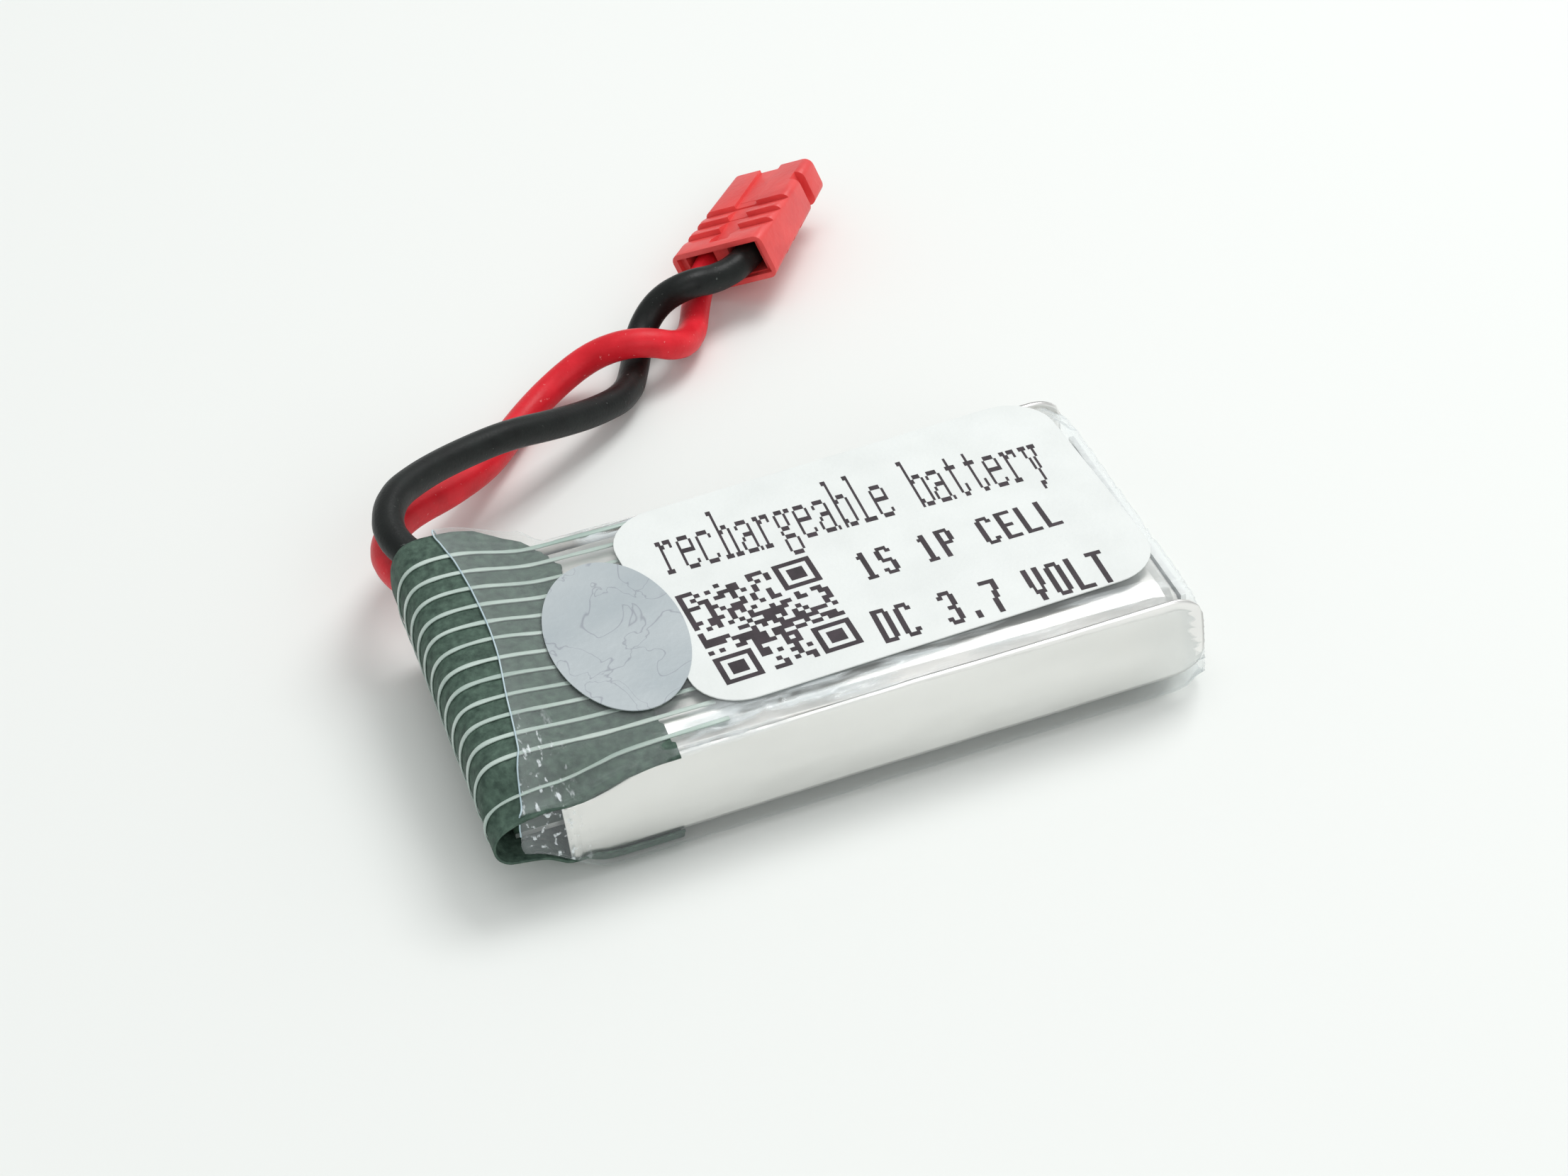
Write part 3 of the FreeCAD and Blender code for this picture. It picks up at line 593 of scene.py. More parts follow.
# %% Flaps
FLAP_X = (-15.6, 19.4)
FLAP_Z = (1.3, 6.28)
FLAP_Y = 9.62
FLAP_THICKNESS = 0.2
FLAP_BOW, FLAP_LEAN = 0.14, 0.10
ROUND_FROM, ROUND_LENGTH, ROUND_HEIGHT = 17.6, 1.8, 1.35
ROLL_HEIGHT, ROLL_AT = 0.09, 0.35
FALL_HEIGHT, FALL_FROM, FALL_LENGTH = 1.35, -9.4, 5.4


def flap_place(side):
    """Where the corners of one flap go. side is -1 in front and 1 behind."""
    def place(u, v):
        x = FLAP_X[0] + u ** 1.2 * (FLAP_X[1] - FLAP_X[0])
        z = FLAP_Z[0] + v * (FLAP_Z[1] - FLAP_Z[0])
        past = max(0.0, (x - ROUND_FROM) / ROUND_LENGTH)
        rounded = ROUND_HEIGHT * (1 - math.sqrt(max(0.0, 1 - past * past)))
        z += rounded * (1 - 2 * v)
        rolled = ROLL_HEIGHT * smooth(1 - abs(x - FLAP_X[0] - ROLL_AT) / ROLL_AT)
        bow = FLAP_BOW * math.sin(math.pi * v)
        lean = FLAP_LEAN * v * v
        wave = 0.05 * ripple((x, 40 * side, z), 6.0, 2.0)
        wave += 0.02 * ripple((x, 9 * side, z), 1.6, 4.0)
        if side < 0:
            z -= FALL_HEIGHT * v * smooth((FALL_FROM - x) / FALL_LENGTH)
        z += 0.05 * ripple((x, 3, 3), 4.0, 1.0) * v
        return x, side * (FLAP_Y + bow - lean + wave + rolled), z
    return place


for name, side in (("side_flap_front", -1), ("side_flap_back", 1)):
    flap = grid_sheet(name + "_foil", 180, 26, flap_place(side))
    modify(flap, "SOLIDIFY", thickness=FLAP_THICKNESS * MM, offset=0.0)
    mend_normals(flap)
    wear(flap, laminate)
    settle(flap, "laminate", name)

# %% [markdown]
# ## The fibre paper round the nose
# A dark green fish paper lies on the cell, swells up over the leads, turns
# round the board's end and comes back under the cell. All of it follows one
# side profile, which is a smooth curve with a few control points, low at the
# near edge and higher at the far edge where the leads come out. The film's pull
# pinches the nose at its near corner. The sheet is a grid laid along the
# profile, with cut edges that aren't quite straight and a hem that hangs over.

# %% Nose profile
NOSE_TIP = -19.2
PAPER = 0.15
PAPER_Y = (-9.4, 10.8)
SWELL_NEAR, SWELL_FAR = 0.44, 1.39
ARM_Z = 2.4
GAP_ABOVE, GAP_BELOW = 0.06, 0.15
PINCH, PINCH_WIDTH = 2.1, 1.9


def nose_poles(share, pinch=0.0):
    """Control points (x, z) of the paper's middle line. share is 0 near and 1 far."""
    nose = CELL_X[0]
    top = CELL_TOP[0] + SWELL_NEAR + (SWELL_FAR - SWELL_NEAR) * share - PAPER / 2
    low = ARM_Z + PAPER / 2
    lift = GAP_ABOVE + PAPER / 2
    under = GAP_BELOW + PAPER / 2
    flat = cell_top(nose + 2) + lift
    rise = flat + 0.8 * (top - flat)
    third = 0.3 * (top - pinch - low)
    above = [(nose + 9.0, cell_top(nose + 9.0) + lift),
             (nose + 3.4, cell_top(nose + 3.4) + lift - 0.1 * pinch),
             (nose + 2.0, flat - 0.28 * pinch), (nose - 0.4, rise - 0.8 * pinch),
             (nose - 2.0, top + 0.05 - 0.8 * pinch)]
    tip = [(NOSE_TIP + 0.5, top - pinch), (NOSE_TIP - 0.2, top - pinch - third),
           (NOSE_TIP - 0.2, low + third), (NOSE_TIP + 0.5, low)]
    below = [(nose - 2.2, low), (nose - 0.6, under + 0.8), (nose + 0.8, under),
             (nose + 1.5, under), (nose + 7.6, under)]
    return above + tip + below


def cubic_line(poles, steps):
    """Points of the clamped cubic B-spline with these control points."""
    spans = len(poles) - 3
    knots = [0.0] * 4 + [float(k) for k in range(1, spans)] + [float(spans)] * 4
    line = []
    for step in range(steps + 1):
        at = min(spans - 1e-9, spans * step / steps)
        k = 3 + int(at)
        near = [Vector(poles[j + k - 3]) for j in range(4)]
        for r in range(1, 4):
            for j in range(3, r - 1, -1):
                low, high = knots[j + k - 3], knots[j + 1 + k - r]
                share = (at - low) / (high - low)
                near[j] = near[j - 1] * (1 - share) + near[j] * share
        line.append(near[3])
    return line


NOSE_STEPS = 600
near_line = cubic_line(nose_poles(0.0), NOSE_STEPS)
far_line = cubic_line(nose_poles(1.0), NOSE_STEPS)
edge_line = cubic_line(nose_poles(0.0, PINCH), NOSE_STEPS)
tip_step = min(range(NOSE_STEPS), key=lambda i: near_line[i].x)
print("nose profile: tip at x %.2f mm, step %d" % (near_line[tip_step].x, tip_step))


def far_share(y):
    """0 at the paper's near edge and 1 at its far edge."""
    return min(1.1, max(-0.05, (y - PAPER_Y[0]) / (PAPER_Y[1] - PAPER_Y[0])))


def nose_point(t, y, off=0.0):
    """The profile's point at share t of its way, moved out by off mm."""
    at = min(NOSE_STEPS - 1.0, max(0.0, t * NOSE_STEPS))
    i = int(at)
    pinched = smooth((PAPER_Y[0] + PINCH_WIDTH - y) / PINCH_WIDTH)
    ends = [near_line[k].lerp(far_line[k], far_share(y)).lerp(edge_line[k], pinched)
            for k in (i, i + 1)]
    here = ends[0].lerp(ends[1], at - i)
    along = (ends[1] - ends[0]).normalized()
    return here + Vector((along.y, -along.x)) * off


def step_at(x, upper=True):
    """Share of the way at which the profile passes x, on its upper or lower side."""
    steps = range(0, tip_step) if upper else range(tip_step, NOSE_STEPS + 1)
    return min(steps, key=lambda k: abs(near_line[k].x - x)) / NOSE_STEPS


# %% Paper
# The paper's cut edge on the cell, as (y, x).
PAPER_CUT = [(-9.9, -9.15), (-8.1, -9.4), (-4.0, -9.9), (4.6, -11.3), (5.4, -11.2),
             (6.0, -10.95), (6.8, -10.65), (7.1, -11.0), (7.8, -11.15), (9.6, -12.2),
             (10.8, -14.5)]
PAPER_END = 0.985
PAPER_FLOOR = 0.09
HEM, HEM_FROM, HEM_DROOP, HEM_CURL = 0.52, -9.1, 0.28, 1.0


def along_marks(marks, at):
    """The value of a chain of (place, value) marks at one place."""
    if at <= marks[0][0]:
        return marks[0][1]
    for (a, low), (b, high) in zip(marks, marks[1:]):
        if at <= b:
            return low + (high - low) * (at - a) / (b - a)
    return marks[-1][1]


def swelling(x, y, z):
    """How far the nose swells here over what lies in it, in mm."""
    return 0.09 * ripple((x, y, z), 2.6, 5.0) * smooth(-(x + 13.0) / 2)


def paper_place(u, v):
    """Where the paper's corners go: u across the pack, v from above to below."""
    y = PAPER_Y[0] - HEM + u ** 1.35 * (PAPER_Y[1] - PAPER_Y[0] + HEM)
    first = step_at(along_marks(PAPER_CUT, y) + 0.10 * ripple((0, y, 0), 0.35, 3.0))
    t = first + v * (PAPER_END - first)
    x, z = nose_point(t, y)
    over = smooth(1 - 3.0 * abs(t - 0.30))
    hem = smooth((HEM_FROM - y) / 0.8)
    droop = hem * HEM_DROOP * smooth((x + 16.5) / 2.5)
    curl = hem * smooth((x + 16.0) / 2.0) * (HEM_CURL + 0.25 * ripple((x, 0, 0), 2.5, 1.0))
    crease = 0.05 * ripple((x * 3, y, z * 3), 1.2, 8.0) * smooth(-(x + 13.5) / 2)
    uneven = swelling(x, y, z) + crease
    x -= 0.5 * uneven * over
    z += uneven * (0.4 if z > 3 else -0.1) + (-droop if v < 0.5 else curl)
    ragged = 0.06 * ripple((x, 0, z), 1.1, 6.0) if u < 0.02 or u > 0.98 else 0.0
    return x, y + ragged, max(z, PAPER_FLOOR)


paper = grid_sheet("fish_paper", 110, 190, paper_place)
modify(paper, "SOLIDIFY", thickness=PAPER * 0.9 * MM, offset=0.0)
mend_normals(paper)
green_fibre = finish("green_fibre", (0.018, 0.046, 0.032), (0.080, 0.138, 0.104), 0.72, 2300.0,
                     5200.0, 0.00010)
wear(paper, green_fibre)
settle(paper, "green_fibre_paper", "insulation_paper")

# %% [markdown]
# ## Glass filaments
# The tape over the paper is clear, but its flat bundles of glass fibre show as
# thirteen pale mint lines. Each line is a narrow grid laid along the nose
# profile, a little above the paper, and wanders a little. They run on past the
# paper onto the silver.

# %% Strands
STRAND_PITCH, STRAND_WIDTH, STRAND_COUNT = 1.45, 0.27, 13
STRAND_THICKNESS = 0.07
STRAND_LIFT = 0.05


def strand(index):
    """One flat bundle of fibres along the nose."""
    middle = (index - (STRAND_COUNT - 1) / 2) * STRAND_PITCH
    start = step_at(-6.3 - 0.25 * (index % 3))
    end = step_at(CELL_X[0] + 2.0, upper=False)

    def place(u, v):
        t = start + v * (end - start)
        x, z = nose_point(t, middle, PAPER / 2 + STRAND_LIFT)
        y = middle + (u - 0.5) * STRAND_WIDTH * (1 + 0.25 * ripple((x, middle, z), 0.9, 2.0))
        y += 0.10 * ripple((x, middle * 7, z), 5.0, 9.0)
        swell = swelling(x, y, z)
        z += 0.4 * swell if z > 3 else 0
        return x - 0.25 * swell, y, max(z, STRAND_LIFT)
    return grid_sheet("strand", 4, 150, place)


filaments = joined([strand(i) for i in range(STRAND_COUNT)], "glass_strands")
modify(filaments, "SOLIDIFY", thickness=STRAND_THICKNESS * MM, offset=0.0)
mend_normals(filaments)
glass_filament = finish("glass_filament", (0.36, 0.47, 0.42), (0.58, 0.68, 0.63), 0.38, 900.0,
                        6500.0, 0.00004, stretch=(0.15, 1, 1), Coat_Weight=0.3)
wear(filaments, glass_filament)
settle(filaments, "glass_filament", "filament_strands")

# %% [markdown]
# ## The clear sleeve
# A thin heat-shrunk film round the pack. Over the label's place it is flat. At
# the long edges and the tail it is drawn in and crinkled, and at the nose it
# follows the paper and ends in a curved cut. It is a grid rolled into a tube:
# one way goes round the section, the other along the pack, and ridged noise
# makes sharp crinkles where the film has slack. The film itself is mostly
# transparent. It is glossier where it is seen at a slant. Over the long edges
# and at the tail it is painted whiter in streaks, as painted highlights of the
# crinkles, with a faint haze at both ends, and small painted glints sit at the
# nose's near corner. A thin frosted bead stands for its cut edge, which
# scatters light.

# %% Film shape
FILM_X = 19.46
FILM_SIDE = 10.04


def film_top(x):
    """Height of the film's outside over the cell."""
    return cell_top(x) + 0.455


FILM_LOW = 0.03
FILM_THICKNESS = 0.03
# Y and level round the section, from the middle of its bottom to the middle of its top.
SECTION_Y = [(0.0, 0.0), (0.20, -9.2), (0.225, -9.85), (0.245, -10.0), (0.30, -10.04),
             (0.345, -9.95), (0.362, -9.55), (0.39, -8.3), (0.42, -7.4), (0.5, 0.0)]
SECTION_LEVEL = [(0.0, 0.0), (0.205, 0.0), (0.225, 0.05), (0.25, 0.14), (0.345, 0.885),
                 (0.362, 0.93), (0.39, 0.985), (0.42, 1.0), (0.5, 1.0)]
# X of the cut at the nose, all the way round the section.
FILM_CUT = [(0.0, -15.2), (0.18, -16.6), (0.235, -18.0), (0.34, -17.85), (0.386, -17.2),
            (0.447, -16.5), (0.49, -16.0), (0.53, -15.6), (0.56, -15.9), (0.60, -16.3),
            (0.632, -16.6), (0.67, -16.9), (0.70, -15.6), (0.76, -14.0), (0.82, -14.0),
            (1.0, -15.2)]
FILM_ON_PAPER = -11.0
NEAR_CORNER_Y = -6
TAIL_FROM, TAIL_DROP, TAIL_RISE = 17.6, 0.95, 0.55
SLACK_AT, SLACK_WIDTH = (0.373, 0.627), 0.037
FOLD_DEPTH, CRINKLE_DEPTH = 0.24, 0.12


def section_place(s):
    """Y in mm and the level, 0 at the bottom to 1 on top, at share s of the way round."""
    mirror = s > 0.5
    at = 1 - s if mirror else s
    y = along_marks(SECTION_Y, at)
    return (-y if mirror else y), along_marks(SECTION_LEVEL, at)


def film_cut(v):
    """X of the cut at share v of the way round, smoothed over seven places."""
    smoothed = sum(along_marks(FILM_CUT, v + 0.012 * k) for k in range(-3, 4)) / 7
    return smoothed + 0.06 * ripple((0, v * 60, 0), 2.0, 1.5)


def over_nose(x, y, top, low, level):
    """Top, bottom and level of the film where it leaves the cell and follows the paper."""
    near = y <= NEAR_CORNER_Y
    reach = max(x, NOSE_TIP + 0.3)
    over = nose_point(step_at(reach), y).y + PAPER / 2 + (0.2 if near else 0.13)
    under = nose_point(step_at(reach, upper=False), y).y - PAPER / 2 - 0.06
    blend = smooth((FILM_ON_PAPER - x) / 1.2)
    top += (max(over, 0 if near else top) - top) * blend
    low += (max(under, low) - low) * smooth((-13.0 - x) / 1.5)
    level += (1 - level) * blend * smooth((level - 0.6) / 0.28)
    return top, low, level


def drawn_in(x, y, v, tail):
    """How far the film is crinkled inwards, in mm: at the long edges, tail and near corner."""
    edge = sum(smooth(1 - abs(v - at) / SLACK_WIDTH) for at in SLACK_AT)
    slack = 0.9 * edge + 0.8 * tail + smooth((-12.4 - x) / 2) * smooth((-3.5 - y) / 4)
    fold = smooth(2 * abs(ripple((x * 0.3, v * 75, 0), 1.0, 3.3)))
    crinkle = smooth(2 * abs(ripple((x * 1.2, v * 150, 2), 1.0, 6.1)))
    depth = (FOLD_DEPTH * fold + CRINKLE_DEPTH * crinkle) * min(1.0, slack)
    return depth * (1 - 0.7 * smooth((-9.0 - x) / 1.5))


def film_place(u, v):
    """Where the film's corners go: u along the pack, v round it."""
    x = film_cut(v)
    x += (FILM_X - x) * u
    y, level = section_place(v)
    top, low = film_top(x), FILM_LOW
    if x < FILM_ON_PAPER:
        if y < 0:
            y *= 1 - 0.035 * smooth((-15.4 - x) / 2.6)
        else:
            y *= 1 + 0.11 * smooth((-9.5 - x) / 7.0)
        top, low, level = over_nose(x, y, top, low, level)
    tail = smooth((x - TAIL_FROM) / (FILM_X - TAIL_FROM))
    top -= TAIL_DROP * tail * tail
    low += TAIL_RISE * tail * tail
    y *= 1 - 0.022 * tail * tail
    z = low + (top - low) * level
    depth = drawn_in(x, y, v, tail)
    flat = 0.2 if 0.42 < v < 0.58 else 1
    out = Vector((0, y / FILM_SIDE * flat, (level - 0.5) * 2)).normalized()
    return x, max(-FILM_SIDE, y - out.y * depth), max(z - out.z * depth, 0.02)


film = grid_sheet("clear_sleeve", 146, 320, film_place)
mend_normals(film)
modify(film, "SOLIDIFY", thickness=FILM_THICKNESS * MM, offset=0.0)
print("film faces:", len(film.data.polygons))

# %% Film finish
clear_film = bpy.data.materials.new("clear_film")
clear_film.use_nodes = True
tree = clear_film.node_tree
gloss = tree.nodes["Principled BSDF"]
gloss.inputs["Base Color"].default_value = colour((0.86, 0.92, 0.94))
gloss.inputs["Roughness"].default_value = 0.07
gloss.inputs["IOR"].default_value = 1.5
place = tree.nodes.new("ShaderNodeTexCoord")
fine = bumped(tree, grain(tree, place, 900.0, 3.0, stretch=(0.4, 1, 1)), 0.5, 0.00010)
tree.links.new(fine, gloss.inputs["Normal"])
rim = node(tree, "LayerWeight", Blend=0.5)
tree.links.new(fine, rim.inputs["Normal"])
facing = between(tree, combine(tree, "POWER", rim.outputs["Facing"], 4.0), 0.05, 0.5)
axes = tree.nodes.new("ShaderNodeSeparateXYZ")
tree.links.new(place.outputs["Object"], axes.inputs["Vector"])
along, across, upward = (axes.outputs[axis] for axis in "XYZ")
# Where the film is made whiter, by places in metres: painted highlights of the crinkles
# as white streaks over the long edges and at the tail, and a faint haze at both ends.
streaks = grain(tree, place, 1500.0, 2.0, stretch=(0.14, 1, 1))
painted_edge_streaks = product(tree, rising(tree, combine(tree, "ABSOLUTE", across), 0.0072, 0.0086, 0.14),
                 rising(tree, upward, 0.0061, 0.0066, 1.0),
                 rising(tree, along, -0.0096, -0.0086, 1.0),
                 rising(tree, streaks, 0.44, 0.60, 3.6))
# Painted highlight at the tail: the film is made whiter there for its crinkles' highlights.
behind = rising(tree, along, 0.0174, 0.0190, 0.14)
ends = rising(tree, combine(tree, "ABSOLUTE", along), 0.0150, 0.0176, 0.05)
# Painted glints: small bright specks at the nose's near corner, painted highlights of the
# crinkled film.
specks = grain(tree, place, 2300.0, 3.0, stretch=(1.3, 0.45, 1))
painted_glints = product(tree, rising(tree, specks, 0.58, 0.68, 0.6),
                 rising(tree, across, -0.0040, -0.0060, 1.0),
                 rising(tree, along, -0.0144, -0.0156, 1.0))
# The faint haze and the painted highlights, taken together.
haze_and_painted_highlights = painted_edge_streaks
for more in (behind, ends, painted_glints):
    haze_and_painted_highlights = combine(tree, "MAXIMUM", haze_and_painted_highlights, more)
amount = combine(tree, "ADD", facing, haze_and_painted_highlights)
see_through = node(tree, "BsdfTransparent", Color=colour((0.985, 0.985, 0.98)))
blend = tree.nodes.new("ShaderNodeMixShader")
tree.links.new(amount, blend.inputs["Fac"])
tree.links.new(see_through.outputs["BSDF"], blend.inputs[1])
tree.links.new(gloss.outputs["BSDF"], blend.inputs[2])
tree.links.new(blend.outputs["Shader"], tree.nodes["Material Output"].inputs["Surface"])
wear(film, clear_film)
settle(film, "clear_film", "clear_wrap")

# %% Cut edge of the film
BEAD_RADIUS = 0.045
BEAD_FROM, BEAD_SPAN, BEAD_STEPS = 0.30, 0.39, 80


def edge_bead():
    """The film's cut edge over the nose, as a thin round line."""
    curve = bpy.data.curves.new("film_cut_edge", "CURVE")
    curve.dimensions = "3D"
    curve.bevel_depth = BEAD_RADIUS * MM
    curve.bevel_resolution = 2
    spline = curve.splines.new("NURBS")
    places = [film_place(0.0, BEAD_FROM + BEAD_SPAN * i / BEAD_STEPS)
              for i in range(BEAD_STEPS + 1)]
    spline.points.add(len(places) - 1)
    for point, place in zip(spline.points, places):
        point.co = (*mm(*place), 1.0)
    spline.order_u = 3
    spline.use_endpoint_u = True
    obj = bpy.data.objects.new("film_cut_edge", curve)
    bpy.context.scene.collection.objects.link(obj)
    only(obj)
    bpy.ops.object.convert(target="MESH")
    return bpy.context.object


bead = edge_bead()
frosted_edge = finish("frosted_edge", (0.42, 0.56, 0.62), (0.58, 0.70, 0.74), 0.3, 500.0, 3000.0,
                      0.00003)
wear(bead, frosted_edge)
settle(bead, "clear_film")

# %% [markdown]
# ## The label and its print
# A white paper label with round corners, stuck on the sleeve a little askew.
# It is a plane with its corners bevelled, given a thickness. The print is
# generic wording in a coarse dot-matrix letter and a square block of random
# dots that carries no code. Each row of dots becomes short flat bars, which
# suits this print better than an outline font.

# %% Label sheet
LABEL_SIZE = (25.9, 17.0)
LABEL_AT = (5.4, 0.86)
LABEL_TURN = math.radians(2.6)
LABEL_CORNER = 2.8
LABEL_THICKNESS = 0.09
INK_THICKNESS, INK_LIFT = 0.008, 0.114
SLOPE = math.atan((CELL_TOP[0] - CELL_TOP[1]) / (CELL_X[1] - CELL_X[0]))


def on_film(x, y, lift, turn=0.0):
    """A place on the film's top, tilted as the film is, as a matrix."""
    tilt = Matrix.Rotation(SLOPE, 4, "Y")
    return Matrix.Translation(mm(x, y, film_top(x) + lift)) @ tilt @ Matrix.Rotation(turn, 4, "Z")


def place_mesh(obj, matrix):
    """Move an object by a matrix and keep its place in its mesh."""
    only(obj)
    obj.matrix_world = matrix
    bpy.ops.object.transform_apply(location=True, rotation=True, scale=True)


def stretched(name, size):
    """The flat shape just added, named and stretched from 1 m to this size in mm."""
    obj = bpy.context.object
    obj.name = name
    obj.scale = mm(*size, 1000)
    bpy.ops.object.transform_apply(location=False, rotation=False, scale=True)
    return obj


deselect()
bpy.ops.mesh.primitive_plane_add(size=1)
label = stretched("label_sheet", LABEL_SIZE)
bpy.ops.object.mode_set(mode="EDIT")
bpy.ops.mesh.select_all(action="SELECT")
bpy.ops.mesh.bevel(offset=LABEL_CORNER * MM, segments=10, affect="VERTICES")
bpy.ops.object.mode_set(mode="OBJECT")
modify(label, "SOLIDIFY", thickness=LABEL_THICKNESS * MM, offset=1.0)
modify(label, "BEVEL", width=0.03 * MM, segments=2, limit_method="ANGLE")
place_mesh(label, on_film(*LABEL_AT, 0.02, LABEL_TURN))
label_paper = finish("label_paper", (0.76, 0.79, 0.775), (0.81, 0.84, 0.825), 0.5, 350.0, 4200.0,
                     0.00003)
wear(label, label_paper)
settle(label, "label_paper", "label")

# %% Dot-matrix print
TALL = {
    "r": (4, "##.###./.##..#./.#...../.#...../.#...../.#...../.#...../###...."),
    "e": (4, ".####../#....#./#....#./######./#....../#....../#....#./.####.."),
    "c": (4, ".####../#....#./#....../#....../#....../#....../#....#./.####.."),
    "h": (0, "##...../.#...../.#...../.#...../.#.##../.##..#./.#...#./.#...#./.#...#./.#...#./"
             ".#...#./###.###"),
    "a": (4, ".####../#....#./.....#./..####./.#...#./#....#./#....#./.####.#"),
    "g": (4, ".###.##/#...#../#...#../#...#../.###.../#....../.####../#....#./#....#./#....#./"
             ".####.."),
    "b": (0, "##...../.#...../.#...../.#...../.#.###./.##...#/.#....#/.#....#/.#....#/.#....#/"
             ".##...#/.#.###."),
    "l": (0, ".##..../..#..../..#..../..#..../..#..../..#..../..#..../..#..../..#..../..#..../"
             "..#..../.#####."),
    "t": (2, "..#..../..#..../.####../..#..../..#..../..#..../..#..../..#..#./..#..#./...##.."),
    "y": (4, "###.###/.#...#./.#...#./..#.#../..#.#../..#.#../...#.../...#.../...#.../.##..../"
             ".#....."),
}
BOLD = {
    "1": (0, "..##.../.###.../..##.../..##.../..##.../..##.../..##.../..##.../.####.."),
    "S": (0, ".####../##..##./##...../##...../.####../....##./....##./##..##./.####.."),
    "P": (0, "#####../##..##./##..##./##..##./#####../##...../##...../##...../##....."),
    "C": (0, ".####../##..##./##...../##...../##...../##...../##...../##..##./.####.."),
    "E": (0, "######./##...../##...../##...../#####../##...../##...../##...../######."),
    "L": (0, "##...../##...../##...../##...../##...../##...../##...../##...../######."),
    "D": (0, "#####../##..##./##..##./##..##./##..##./##..##./##..##./##..##./#####.."),
    "3": (0, ".####../##..##./....##./....##./..###../....##./....##./##..##./.####.."),
    ".": (7, "..##.../..##..."),
    "7": (0, "######./....##./....##./...##../...##../..##.../..##.../..##.../..##..."),
    "V": (0, "##..##./##..##./##..##./##..##./##..##./.#..#../.####../..##.../..##..."),
    "O": (0, ".####../##..##./##..##./##..##./##..##./##..##./##..##./##..##./.####.."),
    "T": (0, "######./..##.../..##.../..##.../..##.../..##.../..##.../..##.../..##..."),
}


def bars_of(rows, first_row=0, first_column=0.0):
    """Runs of dots as (column, row, length)."""
    bars = []
    for r, row in enumerate(rows):
        c = 0
        while c < len(row):
            if row[c] == "#":
                run = len(row[c:]) - len(row[c:].lstrip("#"))
                bars.append((first_column + c, first_row + r, run))
                c += run
            c += 1
    return bars


def line_of(words, letters, pitch):
    """A line of print as bars of dots."""
    bars = []
    for i, letter in enumerate(words):
        if letter in letters:
            start, rows = letters[letter]
            bars += bars_of(rows.split("/"), start, i * pitch)
    return bars


def printed(name, bars, dot, at, angle):
    """Bars of dots as thin raised ink. at is the place of column 0, row 0's top, in mm."""
    corners, faces = [], []
    for column, row, run in bars:
        x, y = column * dot[0], -row * dot[1]
        end, foot = x + run * dot[0], y - dot[1]
        first = len(corners)
        corners += [mm(x, foot, 0), mm(end, foot, 0), mm(end, y, 0), mm(x, y, 0)]
        faces.append((first, first + 1, first + 2, first + 3))
    mesh = bpy.data.meshes.new(name)
    mesh.from_pydata(corners, [], faces)
    obj = bpy.data.objects.new(name, mesh)
    bpy.context.scene.collection.objects.link(obj)
    modify(obj, "SOLIDIFY", thickness=INK_THICKNESS * MM, offset=1.0)
    place_mesh(obj, on_film(*at, INK_LIFT, math.radians(angle)))
    return obj


# Words, letters, dots from letter to letter, dot size, place and angle in degrees.
LINES = [("rechargeable battery", TALL, 8.0, (0.1375, 0.365), (-5.6, 7.50), -0.9),
         ("1S 1P CELL", BOLD, 8.0, (0.145, 0.262), (3.75, 0.65), 1.0),
         ("DC 3.7 VOLT", BOLD, 8.0, (0.150, 0.305), (3.0, -4.15), -0.9)]
lines = [printed("print", line_of(words, letters, pitch), dot, at, angle)
         for words, letters, pitch, dot, at, angle in LINES]
lettering = joined(lines, "label_lettering")
ink = finish("print_ink", (0.016, 0.010, 0.014), (0.045, 0.030, 0.040), 0.55, 900.0, 5000.0,
             0.00002)
wear(lettering, ink)
settle(lettering, "label_paper")

# %% Square block of dots
BLOCK_DOTS, CORNER_DOTS = 25, 7
chance = random.Random(41)
cells = [["#" if chance.random() < 0.5 else "." for _ in range(BLOCK_DOTS)]
         for _ in range(BLOCK_DOTS)]
far = BLOCK_DOTS - CORNER_DOTS
for top, left in ((0, far), (far, far), (far, 0)):
    for r in range(-1, CORNER_DOTS + 1):
        for c in range(-1, CORNER_DOTS + 1):
            if 0 <= top + r < BLOCK_DOTS and 0 <= left + c < BLOCK_DOTS:
                ring = max(abs(r - 3), abs(c - 3))
                cells[top + r][left + c] = "#" if ring in (0, 1, 3) else "."
dots = printed("label_dot_block", bars_of(["".join(row) for row in cells]), (0.303, 0.316),
               (-5.95, 1.25), 2.5)
wear(dots, ink)
settle(dots, "label_paper")

# %% [markdown]
# ## The oval sticker
# A thin pale silver film over the paper's end, printed with faint lines. It is
# a circle stretched to an oval and filled. Thin wandering lines, where a noise
# passes its middle value, stand for its worn print.

# %% Sticker
STICKER = (7.3, 12.6)
STICKER_AT = (-9.7, -0.5)
STICKER_THICKNESS, STICKER_LIFT = 0.06, 0.118
deselect()
bpy.ops.mesh.primitive_circle_add(vertices=96, radius=0.5, fill_type="NGON")
sticker = stretched("oval_film_sticker", STICKER)
modify(sticker, "SOLIDIFY", thickness=STICKER_THICKNESS * MM, offset=1.0)
place_mesh(sticker, on_film(*STICKER_AT, STICKER_LIFT))
silver_sticker = finish("silver_sticker", (0.46, 0.52, 0.55), (0.56, 0.61, 0.63), 0.34, 160.0,
                        2600.0, 0.00003, metal=0.35)
tree = silver_sticker.node_tree
place = tree.nodes.new("ShaderNodeTexCoord")
wander = grain(tree, place, 330.0, 2.5, Distortion=1.2)
strong = (0.42, 0.42, 0.42)
contour = ramp(tree, wander, [(0.486, (0, 0, 0)), (0.5, strong), (0.514, (0, 0, 0))])
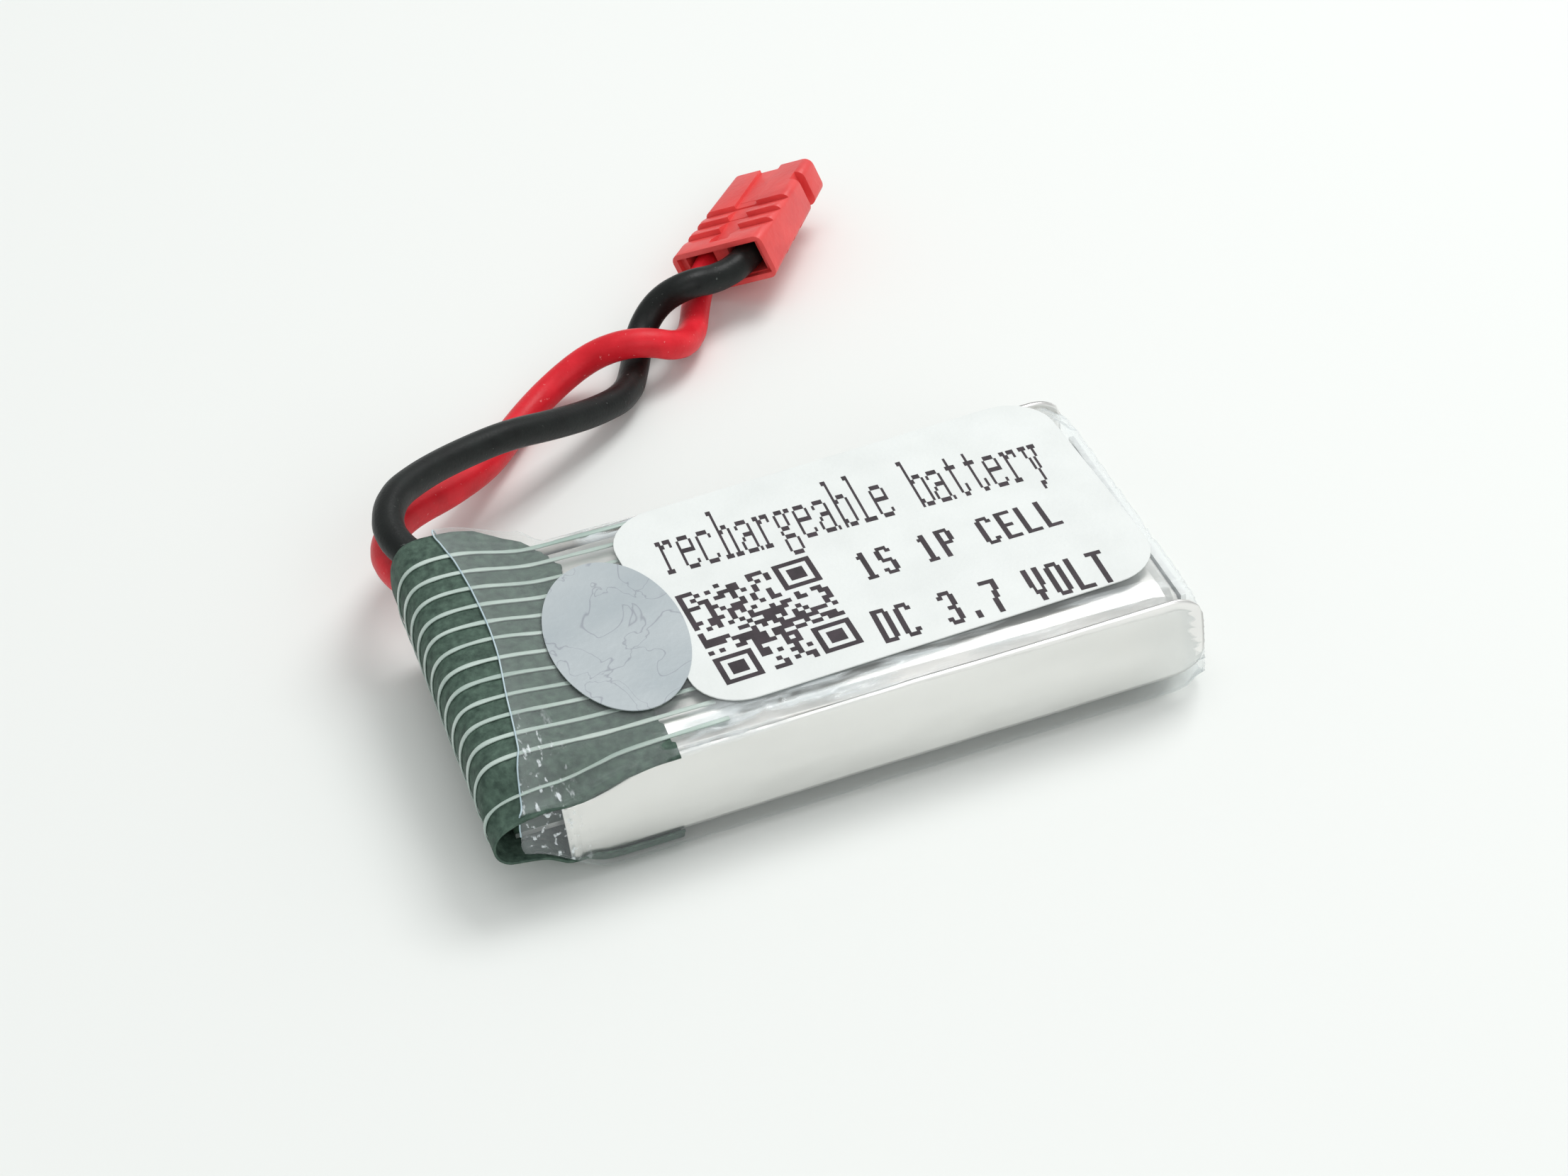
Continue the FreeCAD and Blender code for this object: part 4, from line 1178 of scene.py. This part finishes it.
marked(silver_sticker, contour, (0.16, 0.15, 0.22))
wear(sticker, silver_sticker)
settle(sticker, "silver_sticker", "oval_sticker")

# %% [markdown]
# ## Finishes for the small parts that keep their solid shape
# The tabs, board, chips, solder and contacts are right as solids, so only their
# surfaces are made here.

# %% Small parts
# Pieces, dark and light shade, roughness, cloud and grain scale, bump depth and metal.
SMALL = [
    ("electrode_stack", (0.02, 0.02, 0.022), (0.05, 0.05, 0.05), 0.6, 500.0, 3000.0,
     0.00004, 0.2),
    ("terrace_seal tail_fold", (0.66, 0.67, 0.67), (0.8, 0.8, 0.79), 0.36, 300.0, 1500.0,
     0.00005, 1.0),
    ("positive_tab_sealant negative_tab_sealant", (0.55, 0.53, 0.46), (0.7, 0.68, 0.6), 0.4,
     600.0, 3000.0, 0.00003, 0.0),
    ("positive_tab", (0.7, 0.7, 0.7), (0.84, 0.84, 0.84), 0.3, 700.0, 4000.0, 0.00002, 1.0),
    ("negative_tab", (0.58, 0.56, 0.52), (0.72, 0.7, 0.66), 0.28, 700.0, 4000.0, 0.00002, 1.0),
    ("protection_board", (0.012, 0.07, 0.03), (0.02, 0.11, 0.05), 0.35, 900.0, 3500.0,
     0.00003, 0.0),
    ("protection_chip switch_transistor", (0.012, 0.012, 0.013), (0.03, 0.03, 0.03), 0.5,
     900.0, 6000.0, 0.00002, 0.0),
    ("chip_resistors", (0.02, 0.02, 0.02), (0.5, 0.5, 0.48), 0.4, 1500.0, 6000.0, 0.00002, 0.0),
    ("chip_capacitor", (0.30, 0.20, 0.12), (0.42, 0.30, 0.18), 0.45, 900.0, 6000.0,
     0.00002, 0.0),
    ("plug_contact_negative plug_contact_positive", (0.72, 0.58, 0.30), (0.86, 0.72, 0.42),
     0.25, 700.0, 4000.0, 0.00002, 1.0),
    ("black_lead_cores red_lead_cores", (0.62, 0.60, 0.58), (0.80, 0.78, 0.75), 0.32, 900.0,
     5000.0, 0.00006, 1.0),
    ("solder_joint_negative solder_joint_positive", (0.60, 0.60, 0.61), (0.78, 0.78, 0.79),
     0.22, 900.0, 2500.0, 0.00004, 1.0),
]
for pieces, *values in SMALL:
    names = pieces.split()
    mat = finish(names[0] + "_finish", *values)
    for name in names:
        wear(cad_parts[name], mat)
    print(", ".join(names), "finished")
